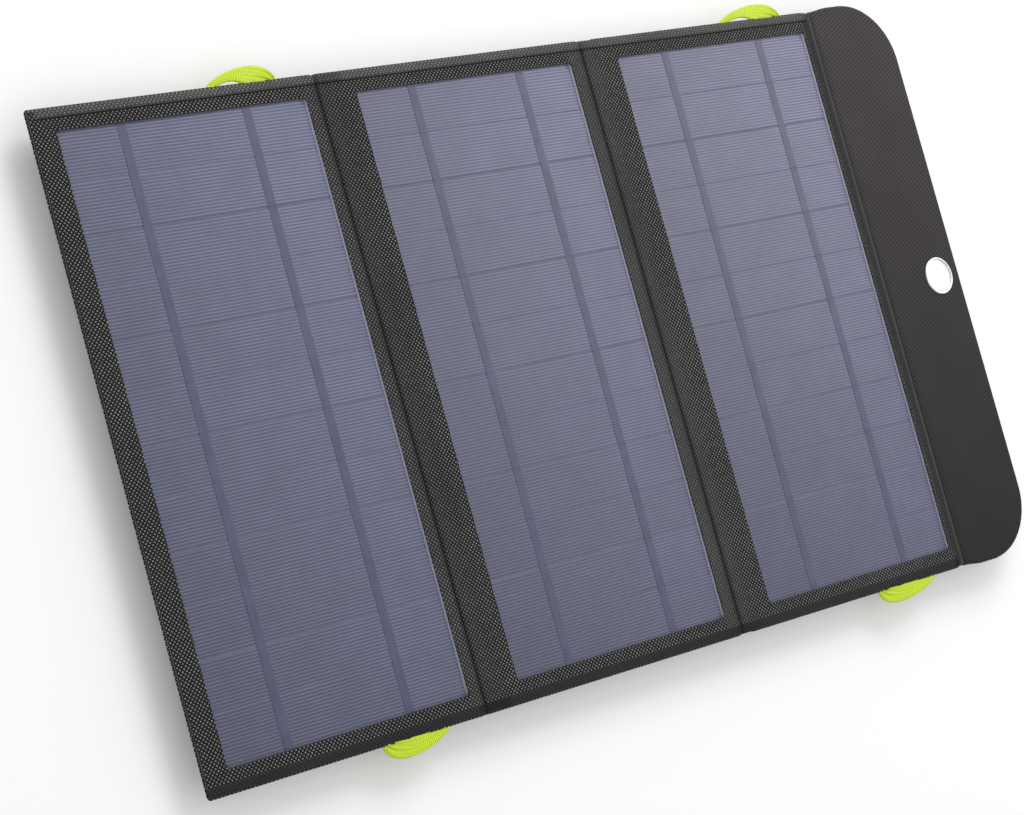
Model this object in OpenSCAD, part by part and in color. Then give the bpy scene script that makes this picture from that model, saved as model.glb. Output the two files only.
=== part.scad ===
// Three-panel folding solar charger with a closure flap.
// It lies open and flat, cells up, on the zip pocket under its middle panel.
// X runs across the three panels towards the flap, Y along the cell columns, Z up.

/* [Solar cells] */
// Width of a cell window, set by a 125 mm wafer
cell_w = 125; // [100:1:156]
// Height of one strip cut from the wafer
strip_h = 20.9; // [18:0.1:21.4]
// Distance from one strip to the next
strip_pitch = 21.75; // [21.5:0.05:24]
// Number of strips in series in each panel
strip_count = 12; // [10:1:12]
// Width of a tab ribbon over the strips
ribbon_w = 4.2; // [1.5:0.1:5]

/* [Body] */
// Fabric left of the first window
side_margin = 11.5; // [8:0.5:16]
// Fabric above and below the windows
hem_margin = 9.5; // [8:0.5:14]
// Fabric between the first and second windows
gap_left = 26.75; // [25:0.25:34]
// Fabric between the second and third windows
gap_right = 28.75; // [26:0.25:34]
// Thickness of a panel
panel_t = 5; // [4.5:0.1:7]
// How far the back slopes in from the free left edge
edge_draft = 3.6; // [0:0.1:5]

/* [Folds] */
// First crease, from the first window's right edge
crease_1_gap = 6.5; // [5:0.5:8]
// Second crease, from the second window's right edge
crease_2_gap = 7.75; // [6:0.25:8]
// Spine between the second and third creases, which the left panel folds into
spine_w = 7.5; // [7:0.1:9]

/* [Flap] */
// Fabric between the third window and the piping
piping_gap = 4; // [4:0.5:6]
// Width of the piping
piping_w = 3.5; // [2.5:0.5:4]
// Free edge of the flap, from the piping
flap_reach = 53.5; // [50:0.5:60]
// Thickness of the flap
flap_t = 2.6; // [2.2:0.1:3.2]
// Radius of the flap's outer corners
flap_corner_r = 31; // [20:1:40]
// How far the flap stands out above and below the panels
flap_swell = 1.4; // [0:0.1:3]
// Diameter of the clasp cup
clasp_d = 19; // [15:0.5:19]
// Clasp centre, from the flap's free edge
clasp_inset = 15.5; // [14:0.5:18]
// Space between the flap and the back when the clasp is shut
clasp_gap = 2.6; // [2.4:0.1:3]

/* [Loops] */
// Length of a webbing loop along the hem, left pair and right pair
loop_lengths = [37, 42]; // [30:1:46]
// How far a loop stands out from the hem
loop_rise = 9; // [7:0.5:10]
// Thickness of the folded webbing
loop_t = 3.4; // [2:0.1:4]

/* [Pocket] */
// Depth of the pocket under the middle panel
pocket_t = 12; // [12:0.5:18]
// Width of the pocket across the panel
pocket_w = 108; // [100:1:112]
// Length of the pocket along the panel
pocket_h = 164; // [150:1:220]

/* [Hidden] */

$fn = 48;
fabric = "#2b2b2a";
twill = "#3a3738";
neon = "#c3e81c";
nickel = "#d9dadb";
black_plastic = "#1c1d1f";

// Layers of a panel, each as its lowest and highest place above the panel's back
cover_t = 0.7;
tray_t = 0.6;
lip_t = 0.5;
board_z = [tray_t, 2.4];
sheet_z = [2.4, 3.4];
strip_z = [3.4, 3.7];
ribbon_z = [3.7, 3.85];
film_z = [3.85, panel_t - cover_t];
lead_low_z = [1.7, 2.3];
lead_high_z = [panel_t - 1.5, panel_t - 0.9];
back_z = pocket_t;
top_z = pocket_t + panel_t;

// Places across the body, from its left edge
window_h = strip_count * strip_pitch;
body_h = window_h + 2 * hem_margin;
window_1 = side_margin;
window_2 = window_1 + cell_w + gap_left;
window_3 = window_2 + cell_w + gap_right;
crease_1 = window_1 + cell_w + crease_1_gap;
crease_2 = window_2 + cell_w + crease_2_gap;
crease_3 = crease_2 + spine_w;
seam_x = window_3 + cell_w + piping_gap;
flap_x = seam_x + piping_w;
total_w = flap_x + flap_reach;
// The flap's first crease clears the folded left panel by this much
wrap_clear = 2;
fold_left_edge = crease_1 - wrap_clear;
crease_4 = crease_2 + crease_3 - fold_left_edge;
crease_5 = crease_4 + spine_w + panel_t + clasp_gap;
clasp_x = total_w - clasp_inset;
plate_x = fold_left_edge + clasp_x - crease_5;

// Flap layers, and where its edge starts to swell out
flap_mid = top_z - flap_t / 2;
face_t = 0.9;
swell_run = 12;

// Clasp: cup and cap on the flap, plate and washer on the middle panel
post_r = 1.6;
cup_rim_h = 1.1;
cup_rim_w = 1.4;
cup_dish_t = 0.3;
cap_r = 7.5;
cap_rise = 1.8;
plate_t = 0.8;
plate_boss_t = 1.2;
washer_r = 4;
washer_t = 0.8;

slit = 0.1;
tray_gap = 0.5;
fit_gap = 0.2;
sheet_lap = 3;
window_round = 3;
strip_inset = 0.5;

// The panels' back covers, each as its left and right edge
tray_left = [0, crease_1 - tray_gap];
tray_centre = [crease_1 + tray_gap, crease_2 - tray_gap];
tray_right = [crease_3 + tray_gap, seam_x];

// Leads between the panels and the regulator
lead_y = 24;
lead_w = 6;
lead_t = 0.6;
lead_tab = 3.6;
lead_slot = lead_w + 0.8;
bush_x = 206;
bush_r = 4;
lead_drop = 0.7;
lead_step = 2.5;
lead_tail = 16;

// Regulator case
case_x = [196, 238];
case_h = 76;
case_wall = 1.5;
case_z = [2.4, back_z];
case_split = 7.2;
case_roof = 1.1;
board_low = 9.3;
board_high = 10.5;
usb_w = 13.2;
usb_t = 5.8;
usb_depth = 14;
usb_ys = [-16, 16];
usb_wall = 0.4;
pipe_z = 5.2;
pipe_r = 1.5;
pipe_l = 4.4;
tongue_w = 11;
coil_x = 214;
coil_r = 4.5;
capacitor_x = 203;
capacitor_r = 2.5;
boss_r = 2.6;
boss_inset = 5.5;
screw_r = 1.1;
screw_head_r = 2;

// Pocket and zip
pocket_x = 176;
pocket_wall = 0.8;
pocket_r = 6;
pocket_end = pocket_x + pocket_w;
zip_half = pocket_h / 2 - 8;
zip_z = (pocket_wall + back_z) / 2;
tape_split = 0.8;
coil_gap = 0.9;
coil_row = 2.25;
coil_t = 1.6;
coil_half = zip_half - 3;
slider_l = 9;
slider_half = 4.2;
slider_y = coil_half - 8;
slider_t = 1.3;
slider_lip = 1;
slider_web = 0.5;
bail_x = pocket_end + 4.4;
bail_l = 5.4;
bail_half = 1;
pin_r = 0.6;
puller_l = 20;
arm_z = 1.6;
tab_half = 3;

// Webbing loops: their middles, the height of the gap inside, and how deep they lie
loop_centres = [106.2, 409.5];
inner_rise = 2.4;
loop_depth = 2.4;

// Puts a piece laid out from the body's left edge in the part's frame
module centred() {
  translate([-total_w / 2, 0, 0]) children();
}

// Box from a pair of limits along each axis
module block(x, y, z) {
  translate([x[0], y[0], z[0]]) cube([x[1] - x[0], y[1] - y[0], z[1] - z[0]]);
}

// Box with a width centred on y
module strap(x, y, w, z) {
  block(x, [y - w / 2, y + w / 2], z);
}

function above(base, z) = [base + z[0], base + z[1]];

function arc(centre, r, from, to, steps) = [
  for (i = [0:steps]) let (a = from + (to - from) * i / steps)
    centre + r * [cos(a), sin(a)]
];

// A window: nearly square corners on its left, rounded ones on its right
function window_outline(x, grow) = let (
    left = x - grow, right = x + cell_w + grow, half = window_h / 2 + grow,
    r = window_round
  ) concat(
    [[left, -half]],
    arc([right - r, -half + r], r, -90, 0, 8),
    arc([right - r, half - r], r, 0, 90, 8),
    [[left, half]]
  );

// Front fabric between two creases, with or without a window
module front_cover(x, window) {
  color(fabric) centred() difference() {
    block(x, [-body_h / 2, body_h / 2], [top_z - cover_t, top_z]);
    if (window > 0)
      translate([0, 0, top_z - cover_t - 1]) linear_extrude(cover_t + 2)
        polygon(window_outline(window, 0));
  }
}

// Block whose left face slopes in by the draft from its top lip down to its bottom
module sloped_block(x, half, z, draft) {
  hull() {
    block(x, [-half, half], [z[1] - lip_t, z[1]]);
    block([x[0] + draft, x[1]], [-half, half], [z[0], z[1]]);
  }
}

// Back fabric: a shallow tray that wraps the stiffener up to the front fabric
module back_cover(x, draft, notch_x, holes) {
  half = body_h / 2;
  color(fabric) centred() difference() {
    sloped_block(x, half, [back_z, top_z - cover_t], draft);
    sloped_block([x[0] + tray_t, x[1] - tray_t], half - tray_t,
      [back_z + tray_t, top_z], draft);
    strap([notch_x - 1, notch_x + 1], lead_y, lead_slot,
      [back_z + lead_high_z[0] - 0.1, top_z]);
    if (holes) {
      strap([tray_centre[1] - 1, tray_centre[1] + 1], lead_y, lead_slot,
        [back_z + lead_high_z[0] - 0.1, top_z]);
      board_holes();
    }
  }
}

// Holes through the middle panel's back for the clasp post and the leads
module board_holes() {
  translate([plate_x, 0, back_z - 1]) cylinder(h = panel_t, r = post_r);
  translate([bush_x, lead_y, back_z - 1]) cylinder(h = panel_t, r = bush_r);
}

// Stiffener board with a groove for the leads
module stiffener(x, draft, groove, holes) {
  half = body_h / 2 - tray_t - fit_gap;
  inset = tray_t + fit_gap;
  color("#b9b4a4") centred() difference() {
    block([x[0] + inset + draft, x[1] - inset], [-half, half], above(back_z, board_z));
    strap(groove, lead_y, lead_slot, [back_z + lead_low_z[0] - 0.1, top_z]);
    if (holes) board_holes();
  }
}

// Glass-fibre sheet that the cells are laminated to
module backsheet(window) {
  color("#3d4a44") centred()
    block([window - sheet_lap, window + cell_w + sheet_lap],
      [-window_h / 2 - sheet_lap, window_h / 2 + sheet_lap],
      above(back_z, sheet_z));
}

// Strips cut from a wafer, laid in a column
module cell_strips(window) {
  color("#6d7092") centred() for (i = [0:strip_count - 1])
    strap([window + strip_inset, window + cell_w - strip_inset],
      (i - (strip_count - 1) / 2) * strip_pitch, strip_h, above(back_z, strip_z));
}

// Two tab ribbons that join the strips, at a quarter and three quarters
module tab_ribbons(window) {
  color("#8f94a6") centred() for (part = [0.25, 0.75])
    block([window + part * cell_w - ribbon_w / 2, window + part * cell_w + ribbon_w / 2],
      [-window_h / 2 - 1, window_h / 2 + 1], above(back_z, ribbon_z));
}

// Clear film over the cells
module front_film(window) {
  color("#aab0d0", 0.35) centred()
    block([window - sheet_lap, window + cell_w + sheet_lap],
      [-window_h / 2 - sheet_lap, window_h / 2 + sheet_lap],
      above(back_z, film_z));
}

// Flat lead: a low run in the stiffener, a riser, and a high run to a crease
module lead_run(riser_x, low_end, high_end) {
  low = above(back_z, lead_low_z);
  high = above(back_z, lead_high_z);
  toward = sign(high_end - riser_x);
  riser = [riser_x - lead_t / 2, riser_x + lead_t / 2];
  strap([min(low_end, riser[0]), max(low_end, riser[1])], lead_y, lead_w, low);
  strap(riser, lead_y, lead_w, [low[0], high[1]]);
  strap([min(riser[0], high_end), max(riser[1], high_end)], lead_y, lead_w, high);
}

module lead_left() {
  color("#1c1c1f") centred()
    lead_run(tray_left[1] - 1.4, tray_left[1] - lead_tail, crease_1 - slit);
}

module leads_centre() {
  drop_z = [board_high, back_z + lead_low_z[1]];
  color("#1c1c1f") centred() {
    lead_run(tray_centre[0] + lead_step, bush_x - lead_drop, crease_1 + slit);
    lead_run(tray_centre[1] - lead_step, bush_x + lead_drop, crease_2 - slit);
    strap([bush_x - lead_drop - lead_t, bush_x - lead_drop], lead_y, lead_tab, drop_z);
    strap([bush_x + lead_drop, bush_x + lead_drop + lead_t], lead_y, lead_tab, drop_z);
  }
}

module lead_spine() {
  color("#1c1c1f") centred() strap([crease_2 + slit, crease_3 - slit], lead_y,
    lead_w, above(back_z, lead_high_z));
}

module lead_right() {
  color("#1c1c1f") centred()
    lead_run(tray_right[0] + lead_step, tray_right[0] + lead_tail, crease_3 + slit);
}

// Lining under the spine's front fabric
module spine_lining() {
  color(fabric) centred() difference() {
    block([crease_2 + slit, crease_3 - slit], [-body_h / 2, body_h / 2],
      [top_z - 1.9, top_z - cover_t]);
    strap([crease_2, crease_3], lead_y, lead_slot,
      [back_z + lead_high_z[0] - 0.1, top_z]);
  }
}

// Webbing loop: a crescent between a high outer arc and a low inner one
module webbing_loop(which, side) {
  chord = loop_lengths[which] / 2;
  outer_r = (chord * chord + loop_rise * loop_rise) / (2 * loop_rise);
  inner_chord = chord * 0.5;
  inner_r = (inner_chord * inner_chord + inner_rise * inner_rise) / (2 * inner_rise);
  mid_z = top_z - loop_depth;
  color(neon) centred()
    translate([loop_centres[which], side * body_h / 2, mid_z - loop_t / 2])
      mirror([0, side < 0 ? 1 : 0, 0]) difference() {
        intersection() {
          translate([0, loop_rise - outer_r, 0])
            cylinder(h = loop_t, r = outer_r, $fn = 96);
          translate([-chord, 0, 0]) cube([2 * chord, loop_rise, loop_t]);
        }
        translate([-chord * 0.12, inner_rise - inner_r, -1])
          cylinder(h = loop_t + 2, r = inner_r, $fn = 96);
      }
}

// Outline of the whole flap, which swells a little past the panels
function flap_outline() = let (
    half = body_h / 2, r = flap_corner_r, top = half + flap_swell
  ) concat(
    [[flap_x, -half], [flap_x + swell_run, -top]],
    arc([total_w - r, -top + r], r, -90, 0, 16),
    arc([total_w - r, top - r], r, 0, 90, 16),
    [[flap_x + swell_run, top], [flap_x, half]]
  );

// Layer of the flap between two places across it
module flap_layer(x, z) {
  centred() intersection() {
    translate([0, 0, z[0]]) linear_extrude(z[1] - z[0]) polygon(flap_outline());
    block(x, [-body_h, body_h], [0, 2 * top_z]);
  }
}

module clasp_hole() {
  centred() translate([clasp_x, 0, 0]) cylinder(h = 2 * top_z, r = post_r);
}

// Covered cord in the seam between the right panel and the flap
module seam_piping() {
  rise = 0.4;
  color(twill) centred() difference() {
    union() {
      block([seam_x, flap_x - slit], [-body_h / 2, body_h / 2],
        [top_z - flap_t, top_z - piping_w / 2 + rise]);
      translate([seam_x + piping_w / 2, body_h / 2, top_z - piping_w / 2 + rise])
        rotate([90, 0, 0]) cylinder(h = body_h, r = piping_w / 2);
    }
    block([flap_x - slit, flap_x + 1], [-body_h, body_h], [0, 2 * top_z]);
    block([seam_x - 5, seam_x], [-body_h, body_h], [0, top_z + 0.01]);
  }
}

// Clasp cup: raised rim round a dished face, with a post through the flap
module clasp_cup() {
  r = clasp_d / 2;
  bead_r = cup_rim_h - 0.5;
  color(nickel) centred() translate([clasp_x, 0, top_z]) union() {
    difference() {
      rotate_extrude($fn = 96) union() {
        square([r - bead_r, cup_dish_t]);
        translate([r - cup_rim_w - 0.5, 0]) square([cup_rim_w, bead_r]);
        translate([r - 2 * bead_r, cup_rim_h - bead_r]) circle(r = bead_r);
        translate([r - bead_r, 0]) square([0.5, 0.4]);
      }
      translate([0, 0, -2]) cylinder(h = 2, r = r + 1);
    }
    translate([0, 0, -flap_t]) cylinder(h = flap_t + 0.1, r = post_r);
  }
}

// Domed cap on the flap's outer side
module clasp_cap() {
  dome_r = (cap_r * cap_r + cap_rise * cap_rise) / (2 * cap_rise);
  color(nickel) centred() translate([clasp_x, 0, top_z - flap_t]) intersection() {
    translate([0, 0, dome_r - cap_rise]) sphere(r = dome_r, $fn = 96);
    translate([0, 0, -cap_rise]) cylinder(h = cap_rise, r = cap_r);
  }
}

// Plate on the middle panel's back that the cup closes on
module clasp_plate() {
  color(nickel) centred() translate([plate_x, 0, back_z]) {
    translate([0, 0, -plate_t]) cylinder(h = plate_t, r = clasp_d / 2 - 0.5, $fn = 96);
    translate([0, 0, -plate_t - plate_boss_t])
      cylinder(h = plate_boss_t, r = clasp_d / 2 - 2.6, $fn = 96);
    cylinder(h = board_z[1], r = post_r);
  }
}

module clasp_washer() {
  color(nickel) centred() translate([plate_x, 0, back_z + board_z[1]])
    cylinder(h = washer_t, r = washer_r);
}

function rounded_rect(x, half, r) = concat(
    arc([x[1] - r, -half + r], r, -90, 0, 8),
    arc([x[1] - r, half - r], r, 0, 90, 8),
    arc([x[0] + r, half - r], r, 90, 180, 8),
    arc([x[0] + r, -half + r], r, 180, 270, 8)
  );

module pocket_panel() {
  color(fabric) centred() linear_extrude(pocket_wall)
    polygon(rounded_rect([pocket_x, pocket_end], pocket_h / 2, pocket_r));
}

// Side wall of the pocket, open where the zip is
module pocket_gusset() {
  w = pocket_wall;
  color(fabric) centred() difference() {
    translate([0, 0, w]) linear_extrude(back_z - w)
      polygon(rounded_rect([pocket_x, pocket_end], pocket_h / 2, pocket_r));
    translate([0, 0, w - 1]) linear_extrude(back_z + 2)
      polygon(rounded_rect([pocket_x + w, pocket_end - w], pocket_h / 2 - w, pocket_r - w));
    block([pocket_end - w - 1, pocket_end + 1], [-zip_half, zip_half], [0, back_z + 1]);
  }
}

module zip_tapes() {
  x = [pocket_end - pocket_wall, pocket_end];
  y = [-zip_half, zip_half];
  color("#161616") centred() {
    block(x, y, [pocket_wall, zip_z - tape_split / 2]);
    block(x, y, [zip_z + tape_split / 2, back_z]);
  }
}

// Two coil rows sewn along the tapes' edges
module zip_coils() {
  x = [pocket_end, pocket_end + coil_t];
  y = [-coil_half, coil_half];
  color("#0f0f0f") centred() {
    block(x, y, [zip_z - coil_gap / 2 - coil_row, zip_z - coil_gap / 2]);
    block(x, y, [zip_z + coil_gap / 2, zip_z + coil_gap / 2 + coil_row]);
  }
}

module zip_stops() {
  color(nickel) centred() for (side = [-1, 1])
    strap([pocket_end, pocket_end + coil_t + 0.3], side * (coil_half + 1.4), 2.4,
      [zip_z - 3, zip_z + 3]);
}

// Slider: plates outside and inside the tapes, joined through the coil gap
module zip_slider() {
  y = [slider_y - slider_l / 2, slider_y + slider_l / 2];
  z = [zip_z - slider_half, zip_z + slider_half];
  outer = pocket_end + coil_t + 0.3;
  inner = pocket_end - pocket_wall - 0.3;
  color("#33363a") centred() difference() {
    union() {
      block([outer, outer + slider_t], y, z);
      for (side = [-1, 1])
        strap([pocket_end + 0.3, outer + 0.1], slider_y, slider_l,
          side > 0 ? [z[1] - slider_lip, z[1]] : [z[0], z[0] + slider_lip]);
      block([inner - slider_t, outer + 0.1], y, [zip_z - slider_web / 2, zip_z + slider_web / 2]);
      block([inner - slider_t, inner], y, z);
      strap([outer + slider_t - 0.1, bail_x + 1.5], slider_y, bail_l,
        [zip_z - bail_half, zip_z + bail_half]);
    }
    translate([bail_x, slider_y, 0]) cylinder(h = back_z, r = pin_r + 0.2);
  }
}

// Puller: a tab on two arms, hung on a pin through the slider's bail
module zip_puller() {
  arm_t = 0.8;
  arm_y = [slider_y - 5, slider_y + pin_r];
  x = [bail_x - pin_r, bail_x + pin_r];
  color("#33363a") centred() {
    translate([bail_x, slider_y, zip_z - arm_z - arm_t / 2])
      cylinder(h = 2 * arm_z + arm_t, r = pin_r);
    for (side = [-1, 1])
      block(x, arm_y, [zip_z + side * arm_z - arm_t / 2, zip_z + side * arm_z + arm_t / 2]);
    block(x, [slider_y - puller_l, slider_y - 4], [zip_z - tab_half, zip_z + tab_half]);
  }
}

module case_corners(inset) {
  for (x = [case_x[0] + inset, case_x[1] - inset], side = [-1, 1])
    translate([x, side * (case_h / 2 - inset), 0]) children();
}

// Openings for the two sockets and the light pipe, along the case's right side
module case_ports() {
  for (y = usb_ys)
    strap([case_x[1] - case_wall - 1, case_x[1] + 1], y, usb_w + 0.2,
      [board_low - usb_t - 0.1, board_low]);
  translate([case_x[1] - case_wall - 1, 0, pipe_z])
    rotate([0, 90, 0]) cylinder(h = case_wall + 2, r = pipe_r);
}

// Half of the case fixed to the panel's back
module regulator_base() {
  w = case_wall;
  color(black_plastic) centred() difference() {
    union() {
      difference() {
        strap(case_x, 0, case_h, [case_split, case_z[1]]);
        strap([case_x[0] + w, case_x[1] - w], 0, case_h - 2 * w,
          [case_split - 1, case_z[1] - case_roof]);
      }
      case_corners(boss_inset) translate([0, 0, case_split])
        cylinder(h = case_z[1] - case_split - 0.1, r = boss_r);
    }
    case_corners(boss_inset) translate([0, 0, case_split - 1]) cylinder(h = 4.2, r = screw_r);
    case_ports();
    translate([bush_x, lead_y, 0]) cylinder(h = 2 * back_z, r = bush_r);
  }
}

// Removable half of the case
module regulator_lid() {
  w = case_wall;
  color(black_plastic) centred() difference() {
    union() {
      difference() {
        strap(case_x, 0, case_h, [case_z[0], case_split]);
        strap([case_x[0] + w, case_x[1] - w], 0, case_h - 2 * w,
          [case_z[0] + case_roof, case_split + 1]);
      }
      case_corners(boss_inset) translate([0, 0, case_z[0] + 0.1])
        cylinder(h = case_split - case_z[0] - 0.1, r = boss_r);
    }
    case_corners(boss_inset) {
      cylinder(h = case_split + 1, r = screw_r);
      cylinder(h = case_z[0] + 1.3, r = screw_head_r + 0.1);
    }
    case_ports();
  }
}

module regulator_board() {
  w = case_wall;
  color("#1f5a38") centred() difference() {
    strap([case_x[0] + w + 0.2, case_x[1] - w - 0.2], 0, case_h - 2 * w - 0.6,
      [board_low, board_high]);
    case_corners(boss_inset) cylinder(h = 2 * back_z, r = boss_r + 0.2);
  }
}

// Coil, capacitors and chips under the board
module regulator_parts() {
  color("#55585c") centred() {
    translate([coil_x, 0, board_low - 4]) cylinder(h = 4, r = coil_r);
    for (y = [-12, 8])
      translate([capacitor_x, y, board_low - 4.6]) cylinder(h = 4.6, r = capacitor_r);
    for (y = [-20, 20])
      strap([coil_x - 5, coil_x], y, 5, [board_low - 1.6, board_low]);
  }
}

// USB-A sockets: a folded steel shell round a plastic tongue
module usb_sockets() {
  x = [case_x[1] - usb_depth, case_x[1] + 0.2];
  color("#c8cacc") centred() for (y = usb_ys) {
    difference() {
      strap(x, y, usb_w, [board_low - usb_t, board_low]);
      strap([x[0] + 1.5, x[1] + 1], y, usb_w - 2 * usb_wall,
        [board_low - usb_t + usb_wall, board_low - usb_wall]);
    }
    strap([x[0] + 1.4, x[1] - 1], y, tongue_w, [board_low - 2.4, board_low - 0.8]);
  }
}

module light_pipe() {
  color("#e8f4ea", 0.6) centred() translate([case_x[1] - pipe_l + 0.4, 0, pipe_z])
    rotate([0, 90, 0]) cylinder(h = pipe_l, r = pipe_r);
}

// Rubber bush where the leads enter the case
module lead_bush() {
  color("#151515") centred() translate([bush_x, lead_y, case_z[1] - case_roof])
    difference() {
      cylinder(h = case_roof + lead_low_z[0] - 0.1, r = bush_r);
      translate([0, 0, -1]) cylinder(h = panel_t, r = bush_r - 1);
    }
}

module lid_screws() {
  color("#4a4c50") centred() case_corners(boss_inset) {
    translate([0, 0, case_z[0] + 0.1]) cylinder(h = 1.2, r = screw_head_r);
    translate([0, 0, case_z[0] + 1.2]) cylinder(h = 6, r = screw_r);
  }
}

front_cover([0, crease_1 - slit], window_1);  // front_cover_left
back_cover(tray_left, edge_draft, tray_left[1], false);  // back_cover_left
stiffener(tray_left, edge_draft, [tray_left[1] - lead_tail - 1, tray_left[1]], false);  // stiffener_left
backsheet(window_1);  // backsheet_left
cell_strips(window_1);  // cell_strips_left
tab_ribbons(window_1);  // tab_ribbons_left
front_film(window_1);  // front_film_left
lead_left();
front_cover([crease_1 + slit, crease_2 - slit], window_2);  // front_cover_centre
back_cover(tray_centre, 0, tray_centre[0], true);  // back_cover_centre
stiffener(tray_centre, 0, tray_centre, true);  // stiffener_centre
backsheet(window_2);  // backsheet_centre
cell_strips(window_2);  // cell_strips_centre
tab_ribbons(window_2);  // tab_ribbons_centre
front_film(window_2);  // front_film_centre
leads_centre();
front_cover([crease_2 + slit, crease_3 - slit], 0);  // front_cover_spine
spine_lining();
lead_spine();
front_cover([crease_3 + slit, seam_x], window_3);  // front_cover_right
back_cover(tray_right, 0, tray_right[0], false);  // back_cover_right
stiffener(tray_right, 0, [tray_right[0], tray_right[0] + lead_tail + 1], false);  // stiffener_right
backsheet(window_3);  // backsheet_right
cell_strips(window_3);  // cell_strips_right
tab_ribbons(window_3);  // tab_ribbons_right
front_film(window_3);  // front_film_right
lead_right();
webbing_loop(0, 1);  // loop_top_left
webbing_loop(0, -1);  // loop_bottom_left
webbing_loop(1, 1);  // loop_top_right
webbing_loop(1, -1);  // loop_bottom_right
seam_piping();
color(twill) flap_layer([flap_x, crease_4 - slit], [flap_mid, top_z]);  // flap_root_face
color(twill) flap_layer([flap_x, crease_4 - slit], [top_z - flap_t, flap_mid]);  // flap_root_back
color(twill) flap_layer([crease_4 + slit, crease_5 - slit], [flap_mid, top_z]);  // flap_spine_face
color(twill) flap_layer([crease_4 + slit, crease_5 - slit], [top_z - flap_t, flap_mid]);  // flap_spine_back
color(twill) difference() {  // flap_tip_face
  flap_layer([crease_5 + slit, total_w], [top_z - face_t, top_z]);
  clasp_hole();
}
color("#b9b4a4") difference() {  // flap_tip_stiffener
  flap_layer([crease_5 + slit, total_w], [top_z - flap_t + face_t, top_z - face_t]);
  clasp_hole();
}
color(twill) difference() {  // flap_tip_back
  flap_layer([crease_5 + slit, total_w], [top_z - flap_t, top_z - flap_t + face_t]);
  clasp_hole();
}
clasp_cup();
clasp_cap();
clasp_plate();
clasp_washer();
pocket_panel();
pocket_gusset();
zip_tapes();
zip_coils();
zip_stops();
zip_slider();
zip_puller();
regulator_base();
regulator_lid();
regulator_board();
regulator_parts();
usb_sockets();
light_pipe();
lead_bush();
lid_screws();
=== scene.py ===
"""Looks of a folding solar charger: woven covers, cells under film, flap, webbing loops and a zip
pocket."""

import math

import bmesh
import bpy
import numpy as np
from mathutils import Matrix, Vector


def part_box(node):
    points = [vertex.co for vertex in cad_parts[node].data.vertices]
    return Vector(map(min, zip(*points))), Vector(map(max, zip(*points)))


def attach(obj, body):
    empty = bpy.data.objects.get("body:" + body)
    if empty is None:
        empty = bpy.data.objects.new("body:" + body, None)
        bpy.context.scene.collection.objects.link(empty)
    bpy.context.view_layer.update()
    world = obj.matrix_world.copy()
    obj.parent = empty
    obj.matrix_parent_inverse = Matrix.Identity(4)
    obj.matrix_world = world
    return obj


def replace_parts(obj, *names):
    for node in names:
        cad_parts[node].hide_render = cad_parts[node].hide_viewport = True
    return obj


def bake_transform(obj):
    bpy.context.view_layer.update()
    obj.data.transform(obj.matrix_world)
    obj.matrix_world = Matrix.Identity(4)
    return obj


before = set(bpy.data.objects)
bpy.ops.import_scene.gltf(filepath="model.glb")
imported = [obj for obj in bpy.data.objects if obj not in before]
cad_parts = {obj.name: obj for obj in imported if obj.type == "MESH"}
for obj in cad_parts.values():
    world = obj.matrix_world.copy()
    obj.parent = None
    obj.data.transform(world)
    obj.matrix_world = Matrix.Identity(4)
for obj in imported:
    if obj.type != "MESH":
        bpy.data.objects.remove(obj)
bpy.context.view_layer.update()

bl_info = {
    "name": "Folding solar charger",
    "version": (1, 0, 0),
    "blender": (4, 5, 0),
    "location": "3D View > Sidebar > Solar charger",
    "description": "Builds the visible pieces of a folding solar charger on its frame",
    "category": "Add Mesh",
}

MM = 0.001
CLOTH_UV = "cloth"
PANELS = ("left", "centre", "right")


# ---------------------------------------------------------------- places from the frame


def low(node, axis):
    """Lowest place of a frame node along an axis (0, 1 or 2), in metres."""
    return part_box(node)[0][axis]


def high(node, axis):
    """Highest place of a frame node along an axis, in metres."""
    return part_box(node)[1][axis]


def middle_of(node, axis):
    """Middle of a frame node along an axis, in metres."""
    return (low(node, axis) + high(node, axis)) / 2


def half_of(node, axis):
    """Half of a frame node's extent along an axis, in metres."""
    return (high(node, axis) - low(node, axis)) / 2


def between(node_a, node_b):
    """Middle of the slit between two neighbours across the body."""
    return (high(node_a, 0) + low(node_b, 0)) / 2


BODY_LEFT = low("front_cover_left", 0)
BODY_HALF = high("front_cover_left", 1)
FACE_Z = high("front_cover_left", 2)
COVER_T = FACE_Z - low("front_cover_left", 2)
BACK_Z = low("back_cover_left", 2)
CREASE_1 = between("front_cover_left", "front_cover_centre")
CREASE_2 = between("front_cover_centre", "front_cover_spine")
CREASE_3 = between("front_cover_spine", "front_cover_right")
CREASE_4 = between("flap_root_face", "flap_spine_face")
CREASE_5 = between("flap_spine_face", "flap_tip_face")
SEAM_X = low("seam_piping", 0)
FLAP_X = low("flap_root_face", 0)
FLAP_END = high("flap_tip_face", 0)
FLAP_HALF = high("flap_tip_face", 1)
FLAP_T = FACE_Z - low("flap_tip_back", 2)
FLAP_CORNER = 31 * MM
FILM_LAP = 3 * MM
WINDOWS = {
    p: (low(f"front_film_{p}", 0) + FILM_LAP, high(f"front_film_{p}", 0) - FILM_LAP)
    for p in PANELS
}
WINDOW_HALF = high("front_film_left", 1) - FILM_LAP
STRIP_COUNT = 12
STRIP_PITCH = 2 * WINDOW_HALF / STRIP_COUNT


# ---------------------------------------------------------------- colours and nodes


def linear(hex_colour):
    """Linear colour with alpha from an sRGB hex value, by the sRGB curve."""
    c = np.array([int(hex_colour[i : i + 2], 16) for i in (1, 3, 5)]) / 255
    made = np.where(c <= 0.04045, c / 12.92, ((c + 0.055) / 1.055) ** 2.4)
    return (*(float(v) for v in made), 1.0)


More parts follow.
